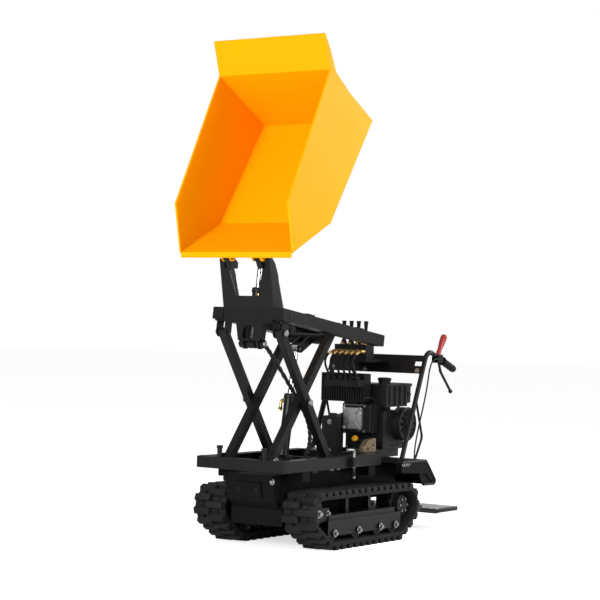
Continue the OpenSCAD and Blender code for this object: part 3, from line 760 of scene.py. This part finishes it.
@dataclass
class RubberTrack(Assembly):
    """Moulded belts with two columns of tapered tread blocks and low tie bars between them."""

    out: float = 353.0
    width: float = 180.0
    belt: float = 16.0
    lug: float = 23.0
    foot: float = 20.0
    crown: float = 15.5
    tie: float = 11.0
    tie_half: float = 9.0
    tie_place: float = 0.26
    tie_share: float = 0.4
    overlap: float = 10.0
    sink: float = 2.0
    inset: float = 4.0
    rounding: float = 3.0
    lug_count: int = 37
    # x, z and radius of the turns
    wheels: tuple[Point, ...] = ((190.0, 180.0, 85.0), (-605.0, 172.0, 92.0), (-520.0, 83.0, 60.0),
                                 (85.0, 83.0, 60.0))
    # half of the belt and share of the pitch
    columns: tuple[Pair, ...] = ((-1, 0.1), (1, 0.6))

    def _loop(self) -> list[tuple[float, float, float, float]]:
        """Outer line of the belt, every few millimetres.

        Returns:
            Tuples of x, z, outward angle and distance along the loop, the last of which closes it.
        """
        outs, spans = [], []
        for (x0, z0, r0), (x1, z1, r1) in zip(self.wheels, self.wheels[1:] + self.wheels[:1]):
            length = math.hypot(x1 - x0, z1 - z0)
            outs.append(math.atan2(z1 - z0, x1 - x0) - math.pi / 2 - math.asin((r1 - r0) / length))
            spans.append(math.sqrt(length ** 2 - (r1 - r0) ** 2))
        line, far = [], 0.0
        for k, (x, z, r) in enumerate(self.wheels):
            turn = (outs[k] - outs[k - 1]) % TURN
            steps = max(6, int(turn * r / 6.0))
            for n in range(steps):
                a = outs[k - 1] + turn * n / steps
                line.append((x + r * math.cos(a), z + r * math.sin(a), a, far + turn * r * n / steps))
            far += turn * r
            a = outs[k]
            steps = max(2, int(spans[k] / 14.0))
            for d in (spans[k] * n / steps for n in range(steps)):
                line.append((x + r * math.cos(a) - d * math.sin(a), z + r * math.sin(a) + d * math.cos(a),
                             a, far + d))
            far += spans[k]
        return [*line, (*line[0][:3], far)]

    @staticmethod
    def _at(line: Sequence[tuple[float, float, float, float]], far: float) -> Point:
        """Finds a spot of the loop.

        Args:
            line: The loop.
            far: Distance along it.

        Returns:
            Place and outward angle.
        """
        far %= line[-1][3]
        first, second = next((p, q) for p, q in zip(line, line[1:]) if p[3] <= far < q[3])
        t = (far - first[3]) / (second[3] - first[3])
        turn = (second[2] - first[2] + math.pi) % TURN - math.pi
        x, z = (first[n] + (second[n] - first[n]) * t for n in (0, 1))
        return x, z, first[2] + turn * t

    def _block(self, shape: Shape, spot: Point, across: Pair, foot: float, crown: float, high: float) -> None:
        """Adds one tapered block standing on the belt.

        Args:
            shape: Mesh in the making.
            spot: Place and outward angle.
            across: Its two edges across the belt.
            foot: Half length at the foot.
            crown: Half length at the crown.
            high: Height.
        """
        x, z, a = spot
        low, top = sorted(across)
        rings = []
        for inset, half, rise in ((0.0, foot, -self.sink), (self.inset, crown, high)):
            corners = ((low + inset, -half), (top - inset, -half), (top - inset, half), (low + inset, half))
            rings.append([mm(x, y, z) + ray(a + math.pi / 2) * along + ray(a) * rise for y, along in corners])
        part = bmesh.new()
        upper = Shape.skin(part, rings)[1]
        bmesh.ops.recalc_face_normals(part, faces=part.faces)
        bmesh.ops.bevel(part, geom=[e for e in part.edges if any(v in upper for v in e.verts)],
                        offset=self.rounding, segments=2, profile=0.6, affect="EDGES")
        shape.add(part)

    def build(self) -> None:
        """Makes both tracks."""
        line = self._loop()
        pitch = line[-1][3] / self.lug_count
        for side, node in ((LEFT, "track_left"), (RIGHT, "track_right")):
            shape = Shape()
            inner, outer = side * (self.out - self.width), side * self.out
            middle = (inner + outer) / 2
            section = [(inner, 0.0), (inner + side * 3, 2.0), (outer - side * 3, 2.0), (outer, 0.0),
                       (outer, -self.belt + 3), (outer - side * 4, -self.belt),
                       (inner + side * 4, -self.belt), (inner, -self.belt + 3)]
            Shape.skin(shape.bm, [[mm(x, y, z) + ray(a) * (h - self.sink) for y, h in section]
                                  for x, z, a, _ in line[:-1]], Ends.LOOP)
            for k in range(self.lug_count):
                for half, shift in self.columns:
                    edge, core = middle + half * (self.width / 2 - 1), middle - half * self.overlap
                    self._block(shape, self._at(line, (k + shift) * pitch), (edge, core), self.foot,
                                self.crown, self.lug)
                    bar = middle + half * self.width * self.tie_place
                    self._block(shape, self._at(line, (k + shift + 0.5) * pitch),
                                (bar - self.tie_half, bar + self.tie_half), self.tie, self.tie,
                                self.lug * self.tie_share)
            self.workshop.mount(shape, f"{node}_belt", Body.CHASSIS, "track_rubber", (node,), 40.0)


@dataclass
class TrackGear(Assembly):
    """Bolts and hubs on the track frames."""

    mid: float = 263.0
    road_xs: tuple[float, ...] = (62.0, -155.0, -360.0, -505.0)
    road_z: float = 81.0
    idler: Pair = (190.0, 180.0)
    sprocket: Pair = (-605.0, 172.0)
    sprocket_bolts: float = 33.0

    ROLLER_HUB = ((0, 0), (30, 0), (30, 3), (26, 5), (14, 5), (14, 6), (0, 6))
    IDLER_HUB = ((0, 0), (52, 0), (50, 4), (30, 4), (26, 8), (12.5, 8), (12.5, 9), (0, 9))
    DRIVE_HUB = ((0, 0), (46, 0), (46, 8), (40, 13), (22, 13), (20, 18), (0, 18))

    def build(self) -> None:
        """Makes the bright fasteners and the hubs."""
        bolts, hubs = shapes(2)
        for side in SIDES:
            out = OUT_Y * side
            for x in self.road_xs:
                bolts.bolt(mm(x, side * (self.mid + 72), self.road_z), out, 19)
                for s in SIDES:
                    hubs.turned(mm(x, side * self.mid + s * 51, self.road_z), OUT_Y * s, self.ROLLER_HUB, 28)
            for x in (100, 165):
                bolts.bolt(mm(x, side * (self.mid + 51), 178), out, 16)
            x, z = self.idler
            bolts.bolt(mm(x, side * (self.mid + 58), z), out, 20)
            hubs.turned(mm(x, side * (self.mid + 36), z), out, self.IDLER_HUB)
            x, z = self.sprocket
            hubs.turned(mm(x, side * (self.mid + 40), z), out, self.DRIVE_HUB)
            for k in range(6):
                bolts.bolt(mm(x, side * (self.mid + 53), z) + ray(TURN * k / 6) * self.sprocket_bolts, out,
                           11, False)
        self.workshop.fit(Body.CHASSIS, track_bolts=(bolts, "zinc_plate"), wheel_hubs=(hubs, "dark_iron_and_weld_highlight"))


@dataclass
class ScissorTrim(Assembly):
    """Pin heads, end caps and weld beads of the scissor and its upper frame."""

    cross: Pair = (95.0, 706.0)
    a_low: Pair = (319.7, 428.6)
    b_top: Pair = (329.0, 1040.2)
    tip_base: Pair = (317.0, 985.0)
    tilt: float = 7.6
    beam: Pair = (57.0, 113.0)

    BUTTON = ((0, 0), (13, 0), (12, 4), (6, 7), (0, 7))

    def on_top(self, u: float, y: float, v: float) -> Vector:
        """A point of the upper frame from its own tilted axes."""
        a = math.radians(self.tilt)
        return mm(self.b_top[0], y, self.b_top[1]) + ray(a) * u + ray(a + math.pi / 2) * v

    def build(self) -> None:
        """Makes pins with grease nipples, buttons, end caps and welds."""
        leg_pins, axle_pins, base_pins, buttons, welds, caps = shapes(6)
        low, high = self.beam
        for side in SIDES:
            out = OUT_Y * side
            for shape, (x, z), y, r in ((leg_pins, self.cross, 194.0, 16.0),
                                        (axle_pins, self.b_top, 200.0, 16.0),
                                        (base_pins, self.tip_base, 70.0, 14.0)):
                shape.turned(mm(x, side * y, z), out, [(0, 0), (r, 0), (r, 4), (r * 0.86, 7), (5, 8),
                                                       (5, 11), (3, 14), (0, 14)], 28)
            leg_pins.bolt(mm(self.a_low[0], side * 154.0, self.a_low[1]), out, 20)
            for u in (-560.0, -480.0):
                buttons.turned(self.on_top(u, side * 177.0, 114.2), UP, self.BUTTON, 20)
            end = ((148, low), (206, low), (206, high), (148, high))
            caps.prism([self.on_top(-882.0, side * y, v) for y, v in end],
                       ray(math.radians(self.tilt)) * -4, 1)
            for u, y in ((-14.0, 207.5), (20.0, 147.0)):
                welds.bead(self.on_top(u, side * y, low), self.on_top(u, side * y, high), 3.5)
        self.workshop.fit(Body.LEG_A, leg_pin_heads=(leg_pins, "zinc_plate"))
        self.workshop.fit(Body.LEG_B, top_pin_heads=(axle_pins, "zinc_plate"))
        self.workshop.fit(Body.UPPER, tip_pin_heads=(base_pins, "zinc_plate"),
                          beam_buttons=(buttons, "black_powder_coat"),
                          # the weld beads take the lighter iron finish, a painted highlight along the seams
                          beam_end_caps=(caps, "black_powder_coat"), beam_welds=(welds, "dark_iron_and_weld_highlight"))


@dataclass
class LowerFrameTrim(Assembly):
    """Lock pin, bolts and welds of the lower frame, and the rolled rim of the rear deck."""

    half: float = 256.0
    low: float = 380.0
    high: float = 436.0
    lock_x: float = -195.0
    rim_y: float = 329.0
    corner_y: float = 324.0

    DECK_RIM = ((-566, 390), (-700, 390), (-794, 389), (-812, 382), (-896, 294), (-903, 280), (-898, 268),
                (-884, 264), (-782, 266))
    DECK_CORNER = ((-807, 325), (-890, 266), (-782, 266), (-744, 328))
    PIN_END = ((0, -6), (9, -6), (9, 0), (6, 6), (0, 6))

    def build(self) -> None:
        """Makes the pin with its guide, the bolts, the deck's edges and the welds."""
        pin, guide, bolts, welds, rims, corners = shapes(6)
        x, y = self.lock_x, self.half + 14.0
        pin.tube(run(y, (x + 62, 470), (x + 20, 468), (x + 4, 463), (x, 450), (x, 400), (x, 360)), 7, 14, 5)
        guide.block(mm(x - 16, self.half, 384), mm(x + 16, y + 12, 432), 3)
        guide.rod(mm(x, y, 380), mm(x, y, 332), 8.5, 20)
        bolts.turned(mm(x, y, 330), -UP, self.PIN_END, 20)
        for side in SIDES:
            (bolts if side == LEFT else guide).bolt(mm(322, side * 138, 330), AHEAD, 15)
            guide.bolt(mm(323, side * 52, 284), AHEAD, 13)
            for x in (-572, -598, -624):
                bolts.bolt(mm(x, side * 330, 380), OUT_Y * side, 12)
            for x in (-440, -380, -120, -60):
                bolts.bolt(mm(x, side * 226, self.low), -UP, 16, False)
            rims.tube(run(side * self.rim_y, *self.DECK_RIM), 6.5, 14, 6)
            corners.prism(run(side * self.corner_y, *self.DECK_CORNER), OUT_Y * side * -4, 0.5)
            welds.bead(mm(372, side * 256.5, self.low + 2), mm(372, side * 256.5, self.high - 2), 3, 25)
            welds.bead(mm(371, side * 254, self.high), mm(371, side * 198, self.high), 3)
        self.workshop.fit(Body.CHASSIS, lock_pin=(pin, "zinc_plate"),
                          lock_pin_guide=(guide, "black_powder_coat"),
                          # the deck corners take the darker black as painted shade
                          deck_rims=(rims, "black_powder_coat"), deck_corners=(corners, "painted_shade_black"),
                          # the weld beads take the lighter iron finish, a painted highlight along the seams
                          frame_bolts=(bolts, "zinc_plate"), frame_welds=(welds, "dark_iron_and_weld_highlight"))


@dataclass
class BucketTrim(Assembly):
    """Hems, weld beads and gussets of the tipping bucket."""

    corner: Pair = (160.0, 1572.0)
    tip: float = 55.9
    half: float = 333.0
    inner: float = 322.0
    lip: Pair = (310.0, 176.0)
    bend: Pair = (141.0, 350.0)
    rim: Pair = (-589.0, 442.0)
    guard: Pair = (-697.0, 578.0)
    floor: float = 639.0

    GUSSET = ((-2, -2), (-70, 82), (-30, 18), (-14, -40))

    def at(self, u: float, y: float, v: float) -> Vector:
        """A point from the bucket's own axes."""
        t = math.radians(self.tip)
        return mm(self.corner[0], y, self.corner[1]) + ray(-t) * u + ray(math.pi / 2 - t) * v

    def build(self) -> None:
        """Makes the hems and the welds."""
        hems, welds = shapes(2)
        n, rear = self.inner, -self.floor
        (lip_u, lip_v), (bend_u, bend_v) = self.lip, self.bend
        (rim_u, rim_v), (top_u, top_v) = self.rim, self.guard
        for u, v, radius in ((lip_u - 2, lip_v + 3, 3.5), (lip_u + 16, lip_v - 9, 3.5),
                             (top_u + 4, top_v - 2, 5)):
            hems.rod(self.at(u, -n, v), self.at(u, n, v), radius, 16)
        for side in SIDES:
            hem, seam, face = side * (self.half - 6.0), side * (n - 1.5), side * (self.half - 5.0)
            bend = self.at(bend_u - 2, hem, bend_v - 2)
            hems.tube([self.at(lip_u - 4, hem, lip_v + 4), bend], 4.8, 12, 1)
            hems.tube([bend, self.at(rim_u + 2, hem, rim_v - 2)], 4.8, 12, 1)
            for u, v, end_u, end_v in ((rear + 10, 6, -2, 6), (2, 7, lip_u - 12, lip_v - 1),
                                       (rear + 7, 8, rim_u + 5, rim_v - 12)):
                welds.bead(self.at(u, seam, v), self.at(end_u, seam, end_v), 3.5)
            for rail in (160.0, 194.0):
                welds.bead(self.at(rear + 24, side * rail, -1), self.at(-34, side * rail, -1), 3)
            hems.prism([self.at(rim_u + u, face, rim_v + v) for u, v in self.GUSSET], OUT_Y * side * -4, 0.8)
        welds.bead(self.at(rear + 9, -n, 7), self.at(rear + 9, n, 7), 3.5)
        self.workshop.fit(Body.BUCKET, bucket_hems=(hems, "bucket_yellow"))
        self.workshop.mount(welds, "bucket_welds", Body.BUCKET, "bucket_yellow", sharp=60.0)


@dataclass
class EngineDress(Assembly):
    """Cover, caps, starter detail and small castings of the engine."""

    centre_y: float = 18.0
    deck: float = 395.0
    starter: Pair = (-862.0, 570.0)
    cap_x: float = -800.0
    cap_z: float = 794.0
    cap_ribs: int = 20

    COVER_BOSS = ((0, 0), (11, 0), (10, 8), (6, 9), (0, 9))
    STARTER_RIM = ((78, -6), (88, -4), (90, 2), (84, 6), (78, 4), (78, -6))
    STARTER_BOSS = ((0, 0), (34, 0), (30, 6), (12, 8), (0, 8))
    FUEL_CAP = ((0, 0), (33, 0), (35, 3), (35, 14), (31, 18), (12, 19), (0, 19))
    FILTER_KNOB = ((0, 0), (16, 0), (14, 12), (0, 14))
    OIL_CAP = ((0, 0), (15.5, 0), (16.5, 3), (16.5, 11), (13, 14), (5, 15), (0, 15))
    BRACKET = ((-620, 432), (-512, 432), (-512, 462), (-548, 496), (-620, 504))

    def _cover(self) -> None:
        """Makes the bright rocker cover with its flange, ribs and bolts."""
        y0, y1 = self.centre_y - 74.0, self.centre_y + 62.0
        cover, bolts = shapes(2)
        cover.block(mm(-617, y0, 530), mm(-604, y1, 671), 3)
        cover.block(mm(-606, y0 + 12, 543), mm(-574, y1 - 12, 658), 13)
        cover.block(mm(-576, y0 + 44, 578), mm(-569, y1 - 44, 624), 5)
        for y in (y0, y1):
            inward = 1 if y == y0 else -1
            for z in (551, 650):
                cover.rod(mm(-575, (y0 + y1) / 2, 600.5), mm(-577, y + inward * 20, z), 5.5, 14)
                cover.turned(mm(-578, y + inward * 20, z), AHEAD, self.COVER_BOSS, 20)
            for z in (538, 663):
                bolts.bolt(mm(-604, y + inward * 8, z), AHEAD, 10)
        for x in range(-688, -627, 15):
            cover.block(mm(x, y1 - 4, 536), mm(x + 6, y1 + 12, 664), 2)
        self.workshop.fit(Body.CHASSIS, rocker_cover=(cover, "cast_aluminium"),
                          cover_bolts=(bolts, "zinc_plate"))

    def _starter(self) -> None:
        """Makes the starter's rim, boss, louvres and pull handle."""
        grille, handle = shapes(2)
        y = self.centre_y + 160.0
        place = mm(self.starter[0], y, self.starter[1])
        grille.turned(place, OUT_Y, self.STARTER_RIM, 48)
        grille.turned(place + OUT_Y * 12, OUT_Y, self.STARTER_BOSS, 36)
        for angle in range(15, 360, 30):
            way = ray(math.radians(angle))
            grille.rod(place + way * 38 + OUT_Y, place + way * 78 + OUT_Y, 3.5, 10)
        handle.rod(mm(-790, y - 12, 622), mm(-776, y - 12, 642), 6, 12)
        handle.rod(mm(-792, y - 12, 660), mm(-752, y - 12, 634), 9, 16, 0.5)
        self.workshop.fit(Body.CHASSIS, starter_grille=(grille, "panel_plastic"),
                          starter_handle=(handle, "moulded_rubber"))

    def _tops(self) -> None:
        """Makes the fuel cap, the air filter and the shroud ribs."""
        cap, filter_box, ribs = shapes(3)
        mid = self.centre_y
        base = mm(self.cap_x, mid + 50.0, self.cap_z)
        cap.turned(base, UP, self.FUEL_CAP, 40)
        for spot in ring(34.5, 0.0, self.cap_ribs):
            cap.rod(base + spot + UP * 3, base + spot + UP * 14, 2.2, 8)
        filter_box.block(mm(-975, mid - 40, 676), mm(-905, mid + 112, 772), 12)
        filter_box.block(mm(-979, mid - 44, 764), mm(-903, mid + 116, 782), 6)
        filter_box.turned(mm(-940, mid + 112, 724), OUT_Y, self.FILTER_KNOB, 20)
        for z in range(452, 609, 26):
            ribs.block(mm(-898, mid + 114, z), mm(-780, mid + 119, z + 9), 2)
            ribs.block(mm(-691, mid - 108, z), mm(-686, mid + 108, z + 9), 2)
        self.workshop.fit(Body.CHASSIS, fuel_cap=(cap, "panel_plastic"),
                          air_filter=(filter_box, "panel_plastic"), shroud_ribs=(ribs, "engine_black"))

    def _castings(self) -> None:
        """Makes the oil filler, the bracket, the plug lead and the bolts of engine and pump."""
        neck, cap, bracket, bolts, lead = shapes(5)
        low, high = mm(-694, 16, 458), mm(-606, 16, 494)
        neck.rod(low, high, 12.5, 20)
        neck.block(mm(-694, -22, 440), mm(-646, 54, 470), 6)
        neck.block(mm(-626, 96, self.deck), mm(-506, 138, 433), 4)
        cap.turned(high - (high - low) * 0.03, high - low, self.OIL_CAP, 28)
        bracket.prism(run(135, *self.BRACKET), OUT_Y * -34, 5)
        for x, z in ((-600, 470), (-545, 452)):
            bolts.bolt(mm(x, 135, z), OUT_Y, 12, False)
        for x in (-870, -690):
            for side in SIDES:
                bolts.bolt(mm(x, side * 85, 440), UP, 14)
        for y in (-180, -90):
            for z in (430, 580):
                bolts.bolt(mm(-520, y, z), AHEAD, 14)
        lead.tube([mm(-600, 60, 672), mm(-596, 62, 690), mm(-604, 70, 704), mm(-640, 84, 708),
                   mm(-684, 96, 690)], 4.5, 10)
        self.workshop.fit(Body.CHASSIS, oil_neck=(neck, "engine_black"), oil_cap=(cap, "oil_cap_yellow"),
                          bronze_bracket=(bracket, "bronze_casting"), engine_bolts=(bolts, "zinc_plate"),
                          plug_lead=(lead, "hose_rubber"))

    def build(self) -> None:
        """Makes all engine pieces."""
        self._cover()
        self._starter()
        self._tops()
        self._castings()


@dataclass
class Controls(Assembly):
    """Levers, grips, boots and cables of the driver's stand."""

    handle_y: float = 280.0
    valve_ys: tuple[float, ...] = (-100.0, -55.0, -10.0, 35.0)
    grip_ribs: int = 14

    LEVER_BALL = ((0, 0), (7, 1), (10.5, 6), (11.5, 12), (9.5, 18), (5, 22), (0, 23))
    RED_LEVER = ((0, 0), (12.5, 0), (13, 20), (12, 50), (15.5, 75), (18, 110), (17, 128), (10, 136.5),
                 (0, 138))
    BOOT = ((0, 0), (19, 0), (19, 4), (15, 8), (17, 12), (12, 17), (13, 21), (8, 27), (6.5, 34), (0, 34))
    CABLE = ((-962, 912), (-930, 918), (-892, 900), (-868, 862), (-852, 800), (-832, 730), (-806, 660),
             (-778, 590), (-752, 520), (-735, 460), (-730, 420), (-730, 396))

    def _grips(self) -> None:
        """Makes ribbed grips, the red lever and the hand levers' ball ends."""
        grips, red, balls = shapes(3)
        for side in SIDES:
            y = side * self.handle_y
            start, end = mm(-1040, y, 905.0), mm(-1160, y, 860.9)
            length = (end - start).length
            profile = [(0, -3), (23, -3), (23, 3), (18.5, 6)]
            for k in range(self.grip_ribs):
                d = 8 + k * (length - 16) / self.grip_ribs
                profile += [(18.5, d), (19.8, d + 2), (19.8, d + 4), (18.5, d + 6)]
            profile += [(18.5, length - 2), (16, length + 3), (0, length + 3)]
            grips.turned(start, end - start, profile, 28)
            along = mm(-115, 0, -108).normalized()
            balls.turned(mm(-1135, y, 742) - along * 12, along, self.LEVER_BALL, 20)
        low, high = mm(-985, self.handle_y, 932), mm(-1055, self.handle_y, 1041)
        way = (high - low).normalized()
        red.turned(low - way * 4, way, self.RED_LEVER, 24)
        self.workshop.fit(Body.CHASSIS, grip_sleeves=(grips, "moulded_rubber"), red_lever=(red, "lever_red"),
                          lever_ends=(balls, "black_powder_coat"))

    def _valve(self) -> None:
        """Makes lever boots, spool caps and the console's bolts."""
        boots, caps, bolts = shapes(3)
        for y in self.valve_ys:
            boots.turned(mm(-655, y, 985), UP, self.BOOT, 24)
            caps.bolt(mm(-690, y, 945), -AHEAD, 22)
            caps.bolt(mm(-640, y, 985), UP, 14)
        for y in (-262.0, 262.0, -60.0):
            bolts.bolt(mm(-806.0, y, 856.0), mm(0.92, 0.0, 0.39), 14)
        self.workshop.fit(Body.CHASSIS, lever_boots=(boots, "moulded_rubber"),
                          spool_caps=(caps, "fitting_brass"), console_bolts=(bolts, "zinc_plate"))

    def _cables(self) -> None:
        """Makes the two thin control cables, each from its lever to the deck."""
        for side, name in ((LEFT, "left_cable"), (RIGHT, "right_cable")):
            route = run(side * (self.handle_y + 22), *self.CABLE)
            cable = Shape()
            cable.tube(route, 4, 10, 6)
            piece = self.workshop.mount(cable, name, Body.CHASSIS, "hose_rubber", sharp=80.0)

    def build(self) -> None:
        """Makes all controls."""
        self._grips()
        self._valve()
        self._cables()


@dataclass
class Hydraulics(Assembly):
    """Spiral wrapped lift hose, valve hoses with their unions, and cylinder glands and ports."""

    # x and z of the foot and angle of the tube
    lift_base: Point = (40.0, 412.0, 99.7407)
    tip_base: Point = (317.0, 985.0, 97.3344)
    lift_tube: float = 330.0
    tip_tube: float = 272.0
    lift_hose_y: float = 66.0
    wrap: float = 16.0
    hose_y: float = -118.0
    hose_pitch: float = 34.0
    hose_count: int = 6

    LIFT_HOSE = ((320, 985), (292, 966), (246, 928), (180, 868), (110, 803), (40, 737), (-24, 672),
                 (-72, 612), (-98, 556), (-100, 500), (-82, 452), (-58, 412), (-42, 380), (-36, 361))
    # x, step in y and z
    VALVE_HOSE = ((-592, 0, 948), (-571, -1, 946), (-551, -5, 937), (-536, -10, 922), (-529, -14, 902),
                  (-529, -14, 880), (-535, -10, 859), (-542, -5, 839), (-548, -1, 818), (-550, 0, 797))
    UNION = ((5.8, 0), (8.5, 0), (8.5, 20), (5.8, 22), (5.8, 0))
    GLAND = ((27.2, 0), (30, 1), (31, 3), (31, 16), (28, 22), (21.5, 25), (21.5, 24.5), (27.2, 0))
    FOOT_RING = ((27.2, 0), (29.5, 1), (29.5, 12), (27.2, 14), (27.2, 0))
    PORT = ((0, 0), (11, 0), (11, 12), (8, 14), (8, 22), (0, 22))

    def _lift_hose(self) -> None:
        """Makes the spiral wrapped lift hose, mounted on the chassis."""
        route = run(self.lift_hose_y, *self.LIFT_HOSE)
        line = smooth_line(route, 14)
        turns = run_length(line) / self.wrap
        hose = Shape()
        hose.tube(route, lambda t: 9.8 + 1.1 * math.copysign(
            abs(math.cos(t * turns * math.pi)) ** 0.4, math.cos(t * turns * math.pi)), 14, 14)
        piece = self.workshop.mount(hose, "wrapped_hose", Body.CHASSIS, "hose_rubber", ("lift_hose",), 60.0)
        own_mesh(piece)

    def _valve_hoses(self) -> None:
        """Makes the hoses that sweep from the valve to the cooler's header."""
        unions, sleeves, nuts = shapes(3)
        for k in range(self.hose_count):
            y = self.hose_y + k * self.hose_pitch
            route = [mm(x, y + step, z) for x, step, z in self.VALVE_HOSE]
            line = smooth_line(route, 8)
            hose = Shape()
            hose.tube(route, 5.8, 14, 8)
            piece = self.workshop.mount(hose, f"valve_hose_{k + 1}", Body.CHASSIS, "hose_rubber",
                                        ("valve_hoses",) if k == 0 else (), 80.0)
            unions.bolt(mm(-612, y, 948), AHEAD, 20, False)
            unions.turned(mm(-600, y, 948), AHEAD, self.UNION, 20)
            sleeves.tube(line[9:20], 7.3, 14, 1)
            nuts.bolt(mm(-550, y, 799.7), UP, 22)
        self.workshop.fit(Body.CHASSIS, valve_unions=(unions, "fitting_brass"),
                          hose_sleeves=(sleeves, "fitting_brass"), header_nuts=(nuts, "engine_black"))

    def _glands(self) -> None:
        """Makes the gland, foot ring and port of both cylinders."""
        for (x, z, angle), length, body, name in ((self.lift_base, self.lift_tube, Body.LIFT_BARREL, "lift"),
                                                  (self.tip_base, self.tip_tube, Body.TIP_BARREL, "tip")):
            gland, port = shapes(2)
            way, base = ray(math.radians(angle)), mm(x, 0, z)
            gland.turned(base + way * (length - 24), way, self.GLAND, 40)
            gland.turned(base + way * 22, way, self.FOOT_RING, 40)
            spot = base + way * (length - 34)
            turn, out = (way, mm(0.6, 0.8, 0.0)) if body is Body.TIP_BARREL else (-way, -OUT_Y)
            port.turned(spot + out * 24, out, self.PORT, 20)
            port.tube([spot + out * o + turn * t for o, t in ((44, 0), (48, 6), (49, 20), (49, 52))], 7.5,
                      14, 4)
            port.bolt(spot + out * 49 + turn * 34, turn, 20, False)
            self.workshop.mount(gland, f"{name}_gland", body, "engine_black")
            self.workshop.mount(port, f"{name}_port", body, "fitting_brass")

    def build(self) -> None:
        """Makes all hydraulic pieces."""
        self._lift_hose()
        self._valve_hoses()
        self._glands()


@dataclass
class FootboardTread(Assembly):
    """Raised lozenges and folded edges of the chequer plate."""

    rear: float = -1302.0
    front: float = -1064.0
    half: float = 250.0
    top: float = 112.0
    pitch: float = 20.0
    rise: float = 2.4

    LOZENGE = ((-10, 0), (-4, -3), (4, -3), (10, 0), (4, 3), (-4, 3))
    FACES = ((0, 1, 6), (1, 2, 7, 6), (2, 3, 7), (3, 4, 7), (4, 5, 6, 7), (5, 0, 6))

    def build(self) -> None:
        """Makes the tread pattern and the edges."""
        tread, edge = shapes(2)
        for i in range(int((self.front - self.rear - 12) / self.pitch)):
            for k in range(int((2 * self.half - 16) / self.pitch)):
                centre = mm(self.rear + 16 + i * self.pitch, -self.half + 18 + k * self.pitch, self.top)
                a = math.radians(45 if (i + k) % 2 else -45)
                way, other = mm(math.cos(a), math.sin(a), 0), mm(-math.sin(a), math.cos(a), 0)
                points = [centre + way * l + other * w for l, w in self.LOZENGE]
                points += [centre + way * l + UP * self.rise for l in (-5, 5)]
                verts = [tread.bm.verts.new(point) for point in points]
                for face in self.FACES:
                    tread.bm.faces.new([verts[n] for n in face])
        low, high = self.top - 22, self.top - 3
        for side in SIDES:
            y = side * (self.half - 3)
            edge.block(mm(self.rear + 2, y - 3, low), mm(self.front - 2, y + 3, high), 1)
        edge.block(mm(self.rear, 6 - self.half, low), mm(self.rear + 6, self.half - 6, high), 1)
        self.workshop.mount(tread, "tread_pattern", Body.FOOTBOARD, "tread_crown", sharp=20.0)
        self.workshop.fit(Body.FOOTBOARD, tread_edges=(edge, "black_powder_coat"))


def main() -> None:
    """Builds the studio and the machine's pieces in order."""
    logging.basicConfig(level=logging.INFO, format="%(message)s")
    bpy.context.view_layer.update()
    Studio().build()
    workshop = Workshop(Palette())
    CadDress().apply(workshop.palette)
    for part in (Hydraulics, Controls, RubberTrack, TrackGear, ScissorTrim, LowerFrameTrim, BucketTrim,
                 EngineDress, FootboardTread):
        part(workshop).build()
    LOG.info("%d pieces made", workshop.made)


if __name__ == "__main__":
    main()
